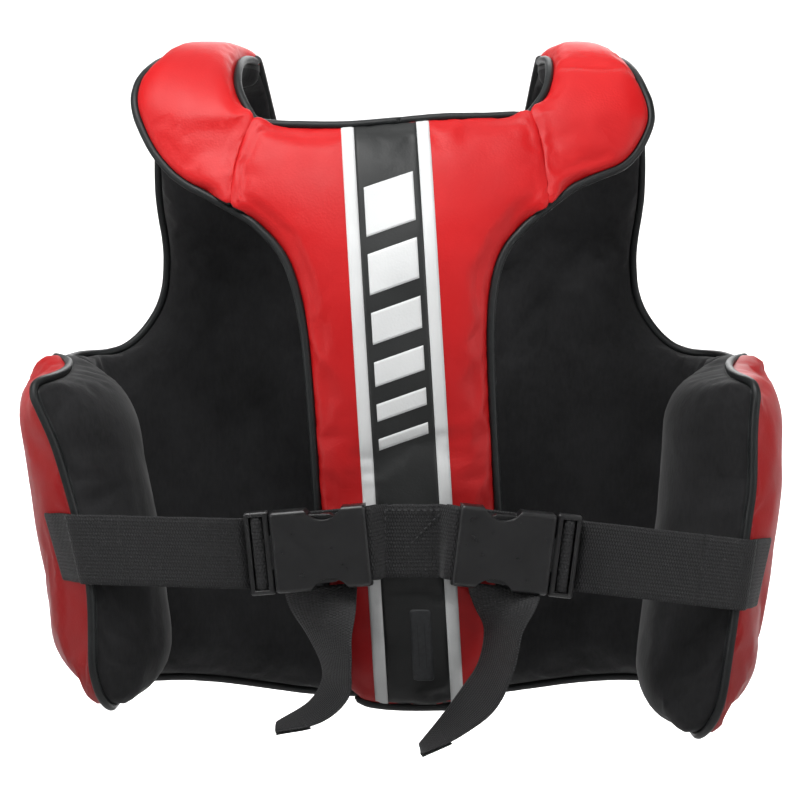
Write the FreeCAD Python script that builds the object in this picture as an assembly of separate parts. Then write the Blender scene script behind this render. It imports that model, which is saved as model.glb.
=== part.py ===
import FreeCAD, Part
import os
from math import asin, atan2, cos, exp, pi, radians, sin, sqrt

from FreeCAD import Placement, Rotation, Vector

os.makedirs("parts", exist_ok=True)

# A padded body protector for boxing coaches.
# Millimetres, +Z up, the wearer faces +Y and +X is the wearer's right.
# The origin is midway between the undersides of the two shoulder pads, where it rests on the shoulders.

# --- driving dimensions ---
SHOULDER_THICKNESS = 30.0
BACK_THICKNESS = 22.0
FRONT_THICKNESS = 50.0
SKIN = 1.5  # thickness of each cover and lining
LAYER_GAP = 0.2
SEAM_GAP = 0.4

CREST_RADIUS = 110.0  # outer face of the pads over the shoulders, seen from the side
CREST_Z = SHOULDER_THICKNESS - CREST_RADIUS  # centre of that arc
BACK, FRONT = -1, 1
REACH = {BACK: 130.0, FRONT: 172.0}  # how far the outer faces stand from the shoulder line
THICKNESS = {BACK: BACK_THICKNESS, FRONT: FRONT_THICKNESS}
CREST_ENDS = {BACK: radians(25), FRONT: radians(55)}  # where the shoulder arc meets the panel's arc
LOWER_RADIUS = 1500.0  # gentle curve of both panels down to the hem
LOWEST = -500.0

NECK_BACK_Z = -32.0
NECK_FRONT_Z = -112.0
NECK_HALF = 109.0
BACK_HEM_Z = -442.0
BACK_NARROW = 61.0  # half-width of the back panel at its waist
LEAN_X, LEAN_SLOPE = -12.8, -0.06  # the back panel's centre line: x = LEAN_X + LEAN_SLOPE * z
BAND_HALF = 22.0
STRIPE = 9.0
BAND_THICK = 0.6
BADGE_Z = (-424.0, -374.0)

BOW_RADIUS = 480.0  # front panel seen from above
CORNER_RADIUS = 85.0
CREASE_Y = 45.0  # the front panel ends and the wings begin here
FLANK_HALF, FLANK_Z, FLANK_SLOPE = 274.0, -230.0, 0.143
FRONT_HEM_Z = -460.0
FRONT_HEM_SIDE_Z = -448.0
WING_TOP_Z = -198.0
WING_REAR_Y = -112.0
WING_REAR_TOP_Z = -213.0
WING_TIP_Z = {"left": -458.0, "right": -472.0}
WING_THICKNESS = 80.0
WING_EDGE = 9.0  # thickness left at the rear seam
WING_REAR_INSET = 24.0
CREASE_OPENING = 8.0  # each wing's front end falls away this far either side of its seam, so that it can fold

PIPING_RADIUS = 3.0
PIPING_STEP = 7.0

WEB_WIDTH = 50.0
WEB = 1.6
BUCKLE_X, BUCKLE_Z = 8.6, -330.0
SOCKET_START = 36.0  # from the middle of the back to the socket's inner end
SOCKET_Y = -139.0
BUCKLE_PITCH, BUCKLE_YAW = 6.0, 6.0
BUCKLE_TILT = {"left": 5.0, "right": 6.5}
STRAP_END_Z = {"left": -334.0, "right": -352.0}
SOCKET_LENGTH, SOCKET_HALF, SOCKET_THICK = 61.0, 28.5, 15.0
NOTCH_MID, NOTCH_LENGTH, NOTCH_DEPTH = 23.0, 24.0, 8.0
HOOD_START = -6.6  # the hood over the socket's webbing bar
FRAME_LENGTH, FRAME_HALF, FRAME_THICK = 17.5, 29.2, 8.0
SLIT = 3.5

SIDES = {"left": -1, "right": 1}


def export(node, shape):
    """Write one node; every node is one closed solid."""
    solid = shape if shape.ShapeType == "Solid" else max(shape.Solids, key=lambda s: s.Volume)
    solid.exportStep(f"parts/{node}.step")


def arc(points):
    return Part.Arc(*points).toShape()


def line(a, b):
    return Part.makeLine(a, b)


def curve(points):
    spline = Part.BSplineCurve()
    spline.interpolate(points)
    return spline.toShape()


def face(edges):
    return Part.Face(Part.Wire(Part.__sortEdges__(edges)))


def mirrored(shape, x=0.0):
    return shape.mirror(Vector(x, 0, 0), Vector(1, 0, 0))


def box(low, high):
    return Part.makeBox(*(b - a for a, b in zip(low, high)), Vector(*low))


# --- the pads seen from the side: an arc over the shoulder, an arc down the panel, an arc to the hem ---
def side_arcs(side, crest_inset, panel_inset):
    """(shoulder radius, panel radius, its centre y and z, lower centre y) of a face set in by this much."""
    crest = CREST_RADIUS - crest_inset
    reach = REACH[side] - panel_inset
    turn = CREST_ENDS[side]
    panel = (reach - crest * cos(turn)) / (1 - cos(turn))
    centre_y = (crest - panel) * cos(turn)
    centre_z = CREST_Z + (crest - panel) * sin(turn)
    return crest, panel, centre_y, centre_z, reach - LOWER_RADIUS


def side_y(side, z, crest_inset, panel_inset):
    """The y of that face at height z."""
    crest, panel, centre_y, centre_z, lower_y = side_arcs(side, crest_inset, panel_inset)
    if z > CREST_Z + crest * sin(CREST_ENDS[side]):
        return side * sqrt(crest**2 - (z - CREST_Z) ** 2)
    if z > centre_z:
        return side * (centre_y + sqrt(panel**2 - (z - centre_z) ** 2))
    return side * (lower_y + sqrt(LOWER_RADIUS**2 - (z - centre_z) ** 2))


def side_edges(side, crest_inset, panel_inset, x):
    """The face's outline in the plane at x, as three tangent arcs, and its two ends."""
    crest, panel, centre_y, centre_z, lower_y = side_arcs(side, crest_inset, panel_inset)
    turn = CREST_ENDS[side]

    def at(y, z, radius, angle):
        return Vector(x, side * (y + radius * cos(angle)), z + radius * sin(angle))

    low = -asin((centre_z - LOWEST) / LOWER_RADIUS)
    top = [at(0, CREST_Z, crest, a) for a in (pi / 2, (pi / 2 + turn) / 2, turn)]
    middle = [at(centre_y, centre_z, panel, a) for a in (turn, turn / 2, 0)]
    bottom = [at(lower_y, centre_z, LOWER_RADIUS, a) for a in (0, low / 2, low)]
    return [arc(top), arc(middle), arc(bottom)], top[0], bottom[2]


def side_slab(side, first, second, half=330.0):
    """The pad between two faces, each given as (inset over the shoulder, inset on the panel)."""
    edges_a, top_a, low_a = side_edges(side, *first, -half)
    edges_b, top_b, low_b = side_edges(side, *second, -half)
    return face(edges_a + edges_b + [line(top_a, top_b), line(low_a, low_b)]).extrude(Vector(2 * half, 0, 0))


# --- the front panel wraps round to the flanks: three arcs seen from above, narrowing to the hem ---
def flank_half(z):
    return FLANK_HALF + FLANK_SLOPE * (z - FLANK_Z)


def plan_arcs(z, inset):
    bow = BOW_RADIUS - inset
    corner = CORNER_RADIUS - inset
    bow_y = REACH[FRONT] - BOW_RADIUS
    corner_x = flank_half(z) - inset - corner
    corner_y = bow_y + sqrt((bow - corner) ** 2 - corner_x**2)
    return bow, corner, bow_y, corner_x, corner_y


def plan_wire(z, inset):
    bow, corner, bow_y, corner_x, corner_y = plan_arcs(z, inset)
    turn = atan2(corner_x, corner_y - bow_y)
    half = corner_x + corner

    def on_bow(angle):
        return Vector(bow * sin(angle), bow_y + bow * cos(angle), z)

    def on_corner(sign, angle):
        return Vector(sign * (corner_x + corner * sin(angle)), corner_y + corner * cos(angle), z)

    middle = (turn + pi / 2) / 2
    back_y = -20.0
    return Part.Wire(
        [
            line(Vector(half, back_y, z), on_corner(1, pi / 2)),
            arc([on_corner(1, a) for a in (pi / 2, middle, turn)]),
            arc([on_bow(a) for a in (turn, 0, -turn)]),
            arc([on_corner(-1, a) for a in (turn, middle, pi / 2)]),
            line(on_corner(-1, pi / 2), Vector(-half, back_y, z)),
            line(Vector(-half, back_y, z), Vector(half, back_y, z)),
        ]
    )


def front_core(inset):
    """Everything this far inside the front panel's face, and in proportion less on the shoulder."""
    crest_inset = inset * SHOULDER_THICKNESS / FRONT_THICKNESS
    edges, top, low = side_edges(FRONT, crest_inset, inset, -330.0)
    back_top = Vector(-330.0, -1.0, top.z)
    back_low = Vector(-330.0, -1.0, low.z)
    outline = face(edges + [line(top, back_top), line(back_top, back_low), line(back_low, low)])
    side = outline.extrude(Vector(660.0, 0, 0))
    plan = Part.makeLoft([plan_wire(LOWEST, inset), plan_wire(60.0, inset)], True, True)
    return side.common(plan)


# --- outlines seen from the front or back ---
def lean(z):
    return LEAN_X + LEAN_SLOPE * z


def back_half(z):
    """Half-width of the back panel: flares to the shoulder seam, tapers to the hem."""
    flare = 38.0 * exp((z + 100.0) / 28.0)
    taper = 10.0 * max(0.0, (-296.0 - z) / 134.0) ** 2
    return BACK_NARROW + flare - taper


def upright(points, y=-250.0):
    return [Vector(x, y, z) for x, z in points]


def through(edges, depth=500.0):
    """A closed outline in the xz plane, made into a prism right through the object."""
    return face(edges).extrude(Vector(0, depth, 0))


SEAM_TOP = (102.0, -35.0)
SEAM_LOW = (117.0, -92.0)
BACK_SIDE_Z = (-100, -118, -140, -180, -250, -320, -380, -432)


def back_outline():
    right = [(lean(z) + back_half(z), z) for z in BACK_SIDE_Z]
    left = [(lean(z) - back_half(z), z) for z in BACK_SIDE_Z]
    corner = 12.0
    hem = [
        (right[-1][0], right[-1][1]),
        (right[-1][0] - corner, BACK_HEM_Z),
        (left[-1][0] + corner, BACK_HEM_Z),
        (left[-1][0], left[-1][1]),
    ]
    top = [(-SEAM_TOP[0] + 7, SEAM_TOP[1]), (0.0, NECK_BACK_Z - 4), (SEAM_TOP[0] - 7, SEAM_TOP[1])]
    seam_r = [(SEAM_TOP[0] - 7, SEAM_TOP[1]), (SEAM_LOW[0] - 6, SEAM_LOW[1]), right[0]]
    seam_l = [(-x, z) for x, z in seam_r[:2]] + [left[0]]
    edges = [curve(upright(right)), curve(upright(left)), curve(upright(top))]
    for chain in (seam_r, seam_l, hem):
        points = upright(chain)
        edges += [line(a, b) for a, b in zip(points, points[1:])]
    return through(edges)


SHOULDER_EDGE = [(111.4, -92.2), (140.0, -80.0), (165.0, -65.0)]
SHOULDER_EDGE += [(182.0, -45.0), (191.0, -18.0), (191.0, 40.0)]
SHOULDER_NECK = [(95.4, -35.2), (109.0, -18.0), (116.0, 5.0), (112.0, 40.0)]


def shoulder_outline():
    """The right shoulder pad, from the seam on the back panel to the crest."""
    edge = upright(SHOULDER_EDGE)
    neck = upright(SHOULDER_NECK)
    return through([curve(edge), curve(neck), line(edge[0], neck[0]), line(edge[-1], neck[-1])])


ARMHOLE = [(191.0, 40.0), (191.0, -18.0), (187.0, -60.0), (184.0, -115.0), (193.0, -158.0), (222.0, -192.0)]


FLANK_OUT = 310.0  # the front panel's outline is drawn out to here, past both flanks


def flank_top_z(x):
    """Height of the straight top edge from the armhole out to the flank."""
    low_x, low_z = ARMHOLE[-1]
    return low_z + (WING_TOP_Z - 4 - low_z) * (x - low_x) / (FLANK_OUT - low_x)


def hem_z(x):
    """Height of the front panel's shallow hem."""
    return FRONT_HEM_Z + (FRONT_HEM_SIDE_Z - FRONT_HEM_Z) * (x / FLANK_OUT) ** 2


def front_outline():
    """Neck, armholes and hem of the front panel; the flanks run out past it."""
    steps = 6
    half_turn = [pi * k / (2 * steps) for k in range(steps + 1)]
    depth = -18.0 - NECK_FRONT_Z
    u_right = [(NECK_HALF * sin(a), -18.0 - depth * cos(a)) for a in half_turn] + [(112.0, 40.0)]
    u_left = [(-x, z) for x, z in reversed(u_right)]
    neck = upright(u_left[:-1] + u_right)
    armhole = upright(ARMHOLE)
    hem = upright([(x, hem_z(x)) for x in (-FLANK_OUT, 0.0, FLANK_OUT)])
    edges = [curve(neck), arc(hem)]
    for sign in (1, -1):
        side = [Vector(sign * p.x, p.y, p.z) for p in armhole]
        out = Vector(sign * FLANK_OUT, -250.0, WING_TOP_Z - 4)
        low = Vector(sign * FLANK_OUT, -250.0, FRONT_HEM_SIDE_Z)
        neck_top = Vector(sign * 112.0, -250.0, 40.0)
        edges += [curve(side), line(side[-1], out), line(out, low), line(neck_top, side[0])]
    return through(edges)


# --- pads of the vest ---
def layers(thickness):
    """Insets of cover, foam and lining: (outer face, inner face) of each."""
    return {
        "cover": (0.0, SKIN),
        "foam": (SKIN + LAYER_GAP, thickness - SKIN - LAYER_GAP),
        "lining": (thickness - SKIN, thickness),
    }


def back_layer(outer, inner):
    """A layer of the back panel or shoulder, from its depths in the back panel."""
    grow = SHOULDER_THICKNESS / BACK_THICKNESS
    return side_slab(BACK, (outer * grow, outer), (inner * grow, inner))


def behind_crest():
    return box((-330, -250, LOWEST), (330, -SEAM_GAP, 100))


def front_region():
    """In front of the shoulder crest, and in front of the crease on each flank."""
    region = box((-330, 0, LOWEST), (330, 250, 100))
    for sign in (-1, 1):
        low_x, high_x = sorted((sign * 150.0, sign * 331.0))
        region = region.cut(box((low_x, -1, LOWEST), (high_x, CREASE_Y, -150)))
    return region


def make_vest():
    shapes = {}
    back = back_outline()
    yoke = shoulder_outline()
    clear_of_back = yoke.cut(back)
    for name, (outer, inner) in layers(BACK_THICKNESS).items():
        slab = back_layer(outer, inner).common(behind_crest())
        shapes[f"back_{name}"] = slab.common(back)
        pad = slab.common(clear_of_back)
        shapes[f"shoulder_right_{name}"] = pad
        shapes[f"shoulder_left_{name}"] = mirrored(pad)
    outline = front_outline().common(front_region())
    for name, (outer, inner) in layers(FRONT_THICKNESS).items():
        shapes[f"front_{name}"] = front_core(outer).cut(front_core(inner)).common(outline)
    return shapes


# --- bands: a dark centre band between two white stripes, sewn on the covers ---
def strip(low, high, bottom, top, leaning):
    """An upright strip between two offsets from the centre line."""
    def centre(z):
        return lean(z) if leaning else 0.0

    points = upright(
        [
            (centre(top) + low, top),
            (centre(top) + high, top),
            (centre(bottom) + high, bottom),
            (centre(bottom) + low, bottom),
        ]
    )
    return through([line(a, b) for a, b in zip(points, points[1:] + points[:1])])


def make_bands():
    shapes = {}
    grow = SHOULDER_THICKNESS / BACK_THICKNESS
    outer, inner = -LAYER_GAP - BAND_THICK, -LAYER_GAP
    strips = {
        "band": (-BAND_HALF, BAND_HALF),
        "stripe_left": (-BAND_HALF - STRIPE, -BAND_HALF - LAYER_GAP),
        "stripe_right": (BAND_HALF + LAYER_GAP, BAND_HALF + STRIPE),
    }
    on_back = side_slab(BACK, (outer * grow, outer), (inner * grow, inner))
    share = SHOULDER_THICKNESS / FRONT_THICKNESS
    on_front = side_slab(FRONT, (outer * share, outer), (inner * share, inner))
    for name, (low, high) in strips.items():
        shapes[f"back_{name}"] = on_back.common(strip(low, high, BACK_HEM_Z + 1, NECK_BACK_Z - 8, True))
        shapes[f"front_{name}"] = on_front.common(strip(low, high, FRONT_HEM_Z + 4, NECK_FRONT_Z - 4, False))
    badge_outer, badge_inner = outer - LAYER_GAP - 1.0, outer - LAYER_GAP
    patch = side_slab(BACK, (badge_outer * grow, badge_outer), (badge_inner * grow, badge_inner))
    shapes["back_badge"] = patch.common(strip(0.0, 16.0, BADGE_Z[0], BADGE_Z[1], True))
    return shapes



# --- side wings: thick pillows that taper to the rear seam ---
def wing_side_points(z, shift, inner):
    """Three points of the right wing's outer or inner face at height z, shifted inwards."""
    half = flank_half(z)
    depth = {False: (0.0, 0.0, 0.0), True: (FRONT_THICKNESS, WING_THICKNESS, WING_EDGE)}[inner]
    return [
        Vector(half - depth[0] - shift, CREASE_Y - SEAM_GAP - CREASE_OPENING, z),
        Vector(half - depth[1] - shift, -30.0, z),
        Vector(half - WING_REAR_INSET - depth[2] - shift, WING_REAR_Y, z),
    ]


def wing_section(z, outer, inner):
    """A layer seen from above; a layer that holds the middle of the pad comes to a ridge along the crease."""
    first = wing_side_points(z, *outer)
    second = wing_side_points(z, *inner)
    crease_x = flank_half(z) - FRONT_THICKNESS / 2
    ends = [second[0], first[0]]
    if first[0].x > crease_x > second[0].x:
        ends.insert(1, Vector(crease_x, CREASE_Y - SEAM_GAP, z))
    closing = [line(p, q) for p, q in zip(ends, ends[1:])]
    return Part.Wire([arc(first), line(first[2], second[2]), arc(second[::-1])] + closing)


def wing_outline(tip_z):
    """Top, rear and bottom edges of a wing, seen from the side."""
    rear, front = WING_REAR_Y, CREASE_Y + 5
    low_corner = 26.0
    x = -10.0
    points = [
        Vector(x, front, WING_TOP_Z),
        Vector(x, rear + 12, WING_REAR_TOP_Z),
        Vector(x, rear, WING_REAR_TOP_Z - 12),
        Vector(x, rear, tip_z + low_corner),
        Vector(x, rear + low_corner, tip_z),
        Vector(x, front, FRONT_HEM_SIDE_Z),
    ]
    round_top = Vector(x, rear + 3.5, WING_REAR_TOP_Z - 3.5)
    round_low = Vector(x, rear + 0.29 * low_corner, tip_z + 0.29 * low_corner)
    edges = [
        line(points[0], points[1]),
        arc([points[1], round_top, points[2]]),
        line(points[2], points[3]),
        arc([points[3], round_low, points[4]]),
        line(points[4], points[5]),
        line(points[5], points[0]),
    ]
    return face(edges).extrude(Vector(340.0, 0, 0))


WING_LAYERS = {
    "cover": ((0.0, False), (SKIN, False)),
    "foam": ((SKIN + LAYER_GAP, False), (-SKIN - LAYER_GAP, True)),
    "lining": ((-SKIN, True), (0.0, True)),
}


def make_wing(side):
    shapes = {}
    outline = wing_outline(WING_TIP_Z[side])
    for name, (outer, inner) in WING_LAYERS.items():
        sections = [wing_section(z, outer, inner) for z in (LOWEST, -180.0)]
        solid = Part.makeLoft(sections, True, True).common(outline)
        shapes[f"wing_{side}_{name}"] = solid if side == "right" else mirrored(solid)
    return shapes


# --- piping: a round cord sewn along every edge, just clear of the pads ---
PIPING_OUT = PIPING_RADIUS + 1.0  # from a pad's edge to the cord's centre


def piping(points):
    """A round cord along a smooth path: short runs between rings, none of them twisted against the next."""
    path = curve(points)
    spots = path.discretize(Number=round(path.Length / PIPING_STEP) + 1)
    last = len(spots) - 1
    normal = Vector(0.3, 0.5, 0.8)
    rings = []
    for k, spot in enumerate(spots):
        ahead = (spots[min(k + 1, last)] - spots[max(k - 1, 0)]).normalize()
        normal = (normal - ahead * normal.dot(ahead)).normalize()
        ring = Part.makeCircle(PIPING_RADIUS)
        ring.Placement = Placement(spot, Rotation(normal, ahead.cross(normal), ahead, "ZXY"))
        rings.append(Part.Wire(ring))
    return Part.makeLoft(rings, True, True)


def along(points, count):
    """Evenly spread flat points on the smooth curve through the given ones."""
    return [(p.x, p.z) for p in curve(upright(points)).discretize(Number=count)]


def outset(points, side=1):
    """Flat (a, b) points moved off their own line by PIPING_OUT, to its right when side is 1."""
    moved = []
    last = len(points) - 1
    for k, (a, b) in enumerate(points):
        before, after = points[max(k - 1, 0)], points[min(k + 1, last)]
        run_a, run_b = after[0] - before[0], after[1] - before[1]
        length = sqrt(run_a**2 + run_b**2)
        moved.append((a + side * PIPING_OUT * run_b / length, b - side * PIPING_OUT * run_a / length))
    return moved


def mid_pad_y(side, z):
    """Y of the middle of the back or front pad."""
    return side_y(side, z, SHOULDER_THICKNESS / 2, THICKNESS[side] / 2)


def over_crest(x, angles):
    """Points over the shoulder at mid thickness; 0 is the top, + is forwards."""
    radius = CREST_RADIUS - SHOULDER_THICKNESS / 2
    return [Vector(x, radius * sin(a), CREST_Z + radius * cos(a)) for a in angles]


def front_rim(x, z, inset=FRONT_THICKNESS / 2):
    """A point in the front panel's mid thickness at x and z, on whichever of its two curves comes first."""
    bow, corner, bow_y, corner_x, corner_y = plan_arcs(z, inset)
    if abs(x) > corner_x + corner * sin(atan2(corner_x, corner_y - bow_y)):
        run = min(1.0, (abs(x) - corner_x) / corner)
        plan = corner_y + corner * sqrt(1 - run**2)
    else:
        plan = bow_y + sqrt(bow**2 - x**2)
    depth = inset * SHOULDER_THICKNESS / FRONT_THICKNESS
    return Vector(x, min(plan, side_y(FRONT, z, depth, inset)), z)


def armhole_path(sign):
    """Up the back panel's edge, round the shoulder pad and down the front panel to the crease."""
    panel = along([(sign * lean(z) + back_half(z), z) for z in reversed(BACK_SIDE_Z)], 16)
    behind = outset(panel + along(SHOULDER_EDGE, 12)[1:-4])
    path = [Vector(sign * x, mid_pad_y(BACK, z), z) for x, z in behind]
    crest_x = sign * (SHOULDER_EDGE[-1][0] + PIPING_OUT + 1.6)
    path += over_crest(crest_x, [radians(a) for a in (-40, -20, 0, 20, 40)])
    end_x = flank_half(WING_TOP_Z) - FRONT_THICKNESS / 2
    armhole = [p for p in along(ARMHOLE, 18) if p[1] < -30]
    flank = [(x, flank_top_z(x)) for x in (231.0, 240.0, 247.0, end_x)]
    ahead = outset(armhole + flank, side=-1)
    path += [front_rim(sign * x, z) for x, z in ahead[:-1]]
    path.append(Vector(sign * ahead[-1][0], CREASE_Y + 2, ahead[-1][1]))
    return path


def neck_path():
    """Round the neck from the middle of the back, where the cord's two ends meet."""
    edge_z = SEAM_TOP[1] + PIPING_OUT + 0.4
    back_edge = [(SEAM_GAP, edge_z), (50, edge_z), (84, edge_z + 0.4)]
    start = [Vector(x, mid_pad_y(BACK, z), z) for x, z in back_edge]
    end = [Vector(-p.x, p.y, p.z) for p in reversed(start)]
    beside = [(x, z) for x, z in outset(along(SHOULDER_NECK, 9), side=-1) if -20 < z < 6]
    front = []
    radius_x, radius_z = NECK_HALF - PIPING_OUT, -18.0 - NECK_FRONT_Z - PIPING_OUT
    for turn in (60, 38, 15, 0, -15, -38, -60):
        x = radius_x * sin(radians(turn))
        z = -18.0 - radius_z * cos(radians(turn))
        front.append(front_rim(x, z))
    sides = {}
    for sign in (1, -1):
        sides[sign] = [Vector(sign * x, mid_pad_y(BACK, z), z) for x, z in beside]
        crest_x = {-12: 108.5, 12: 105.6, 35: 105.0, 50: 104.2}
        sides[sign] += [over_crest(sign * x, [radians(angle)])[0] for angle, x in crest_x.items()]
    return start + sides[1] + front + sides[-1][::-1] + end


def hem_path():
    """Along the front hem at mid thickness, from one crease to the other."""
    path = []
    for x in (-205, -170, -100, 0, 100, 170, 205):
        path.append(front_rim(x, hem_z(x) - PIPING_OUT - 0.2))
    end_x = flank_half(FRONT_HEM_Z) - FRONT_THICKNESS / 2
    low = hem_z(end_x) - PIPING_OUT - 0.2
    return [Vector(-end_x, CREASE_Y + 2, low)] + path + [Vector(end_x, CREASE_Y + 2, low)]


def wing_path(side):
    """From the crease along the top, down the rear seam and forwards along the bottom."""
    tip_z = WING_TIP_Z[side]
    rear, front = WING_REAR_Y, CREASE_Y - 5
    top_corner, low_corner = 12.0, 26.0

    def top(y):
        share = (CREASE_Y - y) / (CREASE_Y - rear - top_corner)
        return WING_TOP_Z + (WING_REAR_TOP_Z - WING_TOP_Z) * share + PIPING_OUT + 0.4

    def low(y):
        share = (CREASE_Y - y) / (CREASE_Y - rear - low_corner)
        return FRONT_HEM_SIDE_Z + (tip_z - FRONT_HEM_SIDE_Z) * share - PIPING_OUT - 0.4

    def corner(radius, z, angles):
        """Points round a rear corner whose centre is at height z; 0 points to the rear, + is upwards."""
        out = radius + PIPING_OUT + 0.3
        return [(rear + radius - out * cos(radians(a)), z + out * sin(radians(a))) for a in angles]

    outline = [(y, top(y)) for y in (front, 15, -15, -50, rear + 24)]
    outline += corner(top_corner, WING_REAR_TOP_Z - top_corner, (60, 20))
    heights = (WING_REAR_TOP_Z - 26, -260, -300, -380, tip_z + low_corner + 8)
    outline += [(rear - PIPING_OUT, z) for z in heights]
    outline += corner(low_corner, tip_z + low_corner, (-20, -45, -70))
    outline += [(y, low(y)) for y in (rear + low_corner + 12, -45, -15, 15, front)]
    path = []
    for y, z in outline:
        run = (CREASE_Y - y) / (CREASE_Y - rear)
        inset = FRONT_THICKNESS / 2 * (1 - run) + (WING_REAR_INSET + WING_EDGE / 2) * run
        path.append(Vector(SIDES[side] * (flank_half(z) - inset), y, z))
    return path


def make_piping():
    shapes = {}
    for side, sign in SIDES.items():
        shapes[f"armhole_piping_{side}"] = piping(armhole_path(sign))
        shapes[f"wing_piping_{side}"] = piping(wing_path(side))
    low = BACK_HEM_Z - PIPING_OUT
    reach = back_half(BACK_HEM_Z)
    start = Vector(lean(low) - reach, mid_pad_y(BACK, low), low)
    shapes["back_hem_piping"] = Part.makeCylinder(PIPING_RADIUS, 2 * reach, start, Vector(1, 0, 0))
    shapes["front_hem_piping"] = piping(hem_path())
    shapes["neck_piping"] = piping(neck_path())
    return shapes


# --- buckles, drawn along +X from the socket's inner end, +Z across the webbing, -Y away from the back ---
def slab(u, v, w, round_edges=0.0):
    """A block between two stations u, half-height v, and between two depths w away from the back."""
    block = box((u[0], -w[1], -v), (u[1], -w[0], v))
    if round_edges:
        block = block.makeFillet(round_edges, block.Edges)
    return block


def socket():
    """A hollow block with two notches for the arms, and a hood over the bar that holds the webbing."""
    half = SOCKET_THICK / 2
    body = slab((3, SOCKET_LENGTH), SOCKET_HALF, (-half, half), 3.0)
    hood = slab((HOOD_START, 16), SOCKET_HALF, (1.2, half), 3.0)
    body = body.fuse(hood)
    for sign in (1, -1):
        cutter = Part.makeCylinder(NOTCH_LENGTH * 0.62, 40, Vector(NOTCH_MID, -20, 0), Vector(0, 1, 0))
        cutter.translate(Vector(0, 0, sign * (SOCKET_HALF - NOTCH_DEPTH + NOTCH_LENGTH * 0.62)))
        body = body.cut(cutter)
    cavity = slab((7, SOCKET_LENGTH + 5), 25.2, (-4.6, 4.6))
    body = body.cut(cavity)
    ears = [box((-6, -2.5, sign * 27 - 1.4), (4, 5.0, sign * 27 + 1.4)) for sign in (1, -1)]
    bar = box((-6, 1.2, -28.4), (-2.4, 4.8, 28.4))
    for piece in ears + [bar]:
        body = body.fuse(piece)
    return body.removeSplitter()


def plug():
    half = FRAME_THICK / 2
    start = SOCKET_LENGTH + 0.5
    frame = slab((start, start + FRAME_LENGTH), FRAME_HALF, (-half, half), 2.0)
    for k in range(2):
        low = start + 4.2 + k * 6.4
        frame = frame.cut(slab((low, low + SLIT), 25.8, (-half - 1, half + 1)))
    bar_u = start + 4.2 + SLIT
    for sign in (1, -1):
        w = (2.0, half + 1) if sign > 0 else (-half - 1, -2.0)
        frame = frame.cut(slab((bar_u - 0.01, bar_u + 2.91), 25.8, w))
    tongue = slab((24, start + 3), 5.5, (-3.4, 3.4), 1.2)
    root = slab((start - 7.5, start + 3), 12.0, (-3.4, 3.4), 1.0)
    return frame.fuse(tongue).fuse(root).removeSplitter()


ARM_ROOT_U, ARM_V = 53.5, 17.5


def arm():
    """The upper spring arm: a thin beam from the plug's root to a thumb pad that fills the socket's notch."""
    deep = 3.2
    low = NOTCH_MID - NOTCH_LENGTH / 2 + 2
    high = NOTCH_MID + NOTCH_LENGTH / 2 - 1
    points = [
        (ARM_ROOT_U, ARM_V - 4.8),
        (ARM_ROOT_U, ARM_V - 1.2),
        (high + 2.5, ARM_V + 1.6),
        (high, ARM_V + 7.0),
        (low + 6, ARM_V + 6.4),
        (low, ARM_V + 2.5),
        (low + 1, ARM_V - 2.6),
        (high, ARM_V - 2.2),
    ]
    corners = [Vector(u, deep, v) for u, v in points]
    profile = face([line(a, b) for a, b in zip(corners, corners[1:] + corners[:1])])
    solid = profile.extrude(Vector(0, -2 * deep, 0))
    return solid.makeFillet(0.6, solid.Edges)


def on_buckle(shape, side):
    """Put a piece drawn for a right-hand buckle in its place."""
    placed = shape.copy()
    placed.Placement = buckle_placement(side).multiply(shape.Placement)
    if side == "left":
        placed = mirrored(placed)
    placed.translate(Vector(BUCKLE_X, 0, 0))
    return placed


def ribbon(points, half_width=WEB_WIDTH / 2, thickness=WEB):
    """Webbing that follows (u, w) points, as a band of constant thickness across the strap."""
    spine = [Vector(u, -w, 0) for u, w in points]
    left, right = [], []
    for k, p in enumerate(spine):
        ahead = spine[min(k + 1, len(spine) - 1)] - spine[max(k - 1, 0)]
        normal = Vector(-ahead.y, ahead.x, 0).normalize() * (thickness / 2)
        left.append(p + normal)
        right.append(p - normal)
    loop = left + right[::-1]
    profile = face([line(a, b) for a, b in zip(loop, loop[1:] + loop[:1])])
    solid = profile.extrude(Vector(0, 0, 2 * half_width))
    solid.translate(Vector(0, 0, -half_width))
    return solid


def make_anchor():
    """Two crossed layers of webbing sewn on the back panel, each end looped round a socket's bar."""
    top_z, low_z = BUCKLE_Z + WEB_WIDTH / 2, BUCKLE_Z - WEB_WIDTH / 2
    inner = LAYER_GAP + BAND_THICK + LAYER_GAP
    grow = SHOULDER_THICKNESS / BACK_THICKNESS
    outer = inner + 2 * WEB
    sheet = side_slab(BACK, (-outer * grow, -outer), (-inner * grow, -inner))
    pad = sheet.common(box((BUCKLE_X - 22, -250, low_z), (BUCKLE_X + 22, 0, top_z)))
    for side in SIDES:
        bar_u, bar_w, clear = -4.2, -3.0, 2.8
        loop = [(-24.0, -17.2), (-16.0, -15.6), (bar_u - 3, bar_w - clear - 1.0), (bar_u + 1, bar_w - clear)]
        loop += [(bar_u + 3.6, bar_w - 1.6), (bar_u + 4.0, bar_w), (bar_u + 3.6, bar_w + 1.6)]
        loop += [(bar_u + 1, bar_w + clear), (bar_u - 4, bar_w + clear - 0.6), (-15.0, -12.5), (-24.0, -15.6)]
        pad = pad.fuse(on_buckle(ribbon(loop, 24.0, 1.5), side))
    return pad.removeSplitter()


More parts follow.
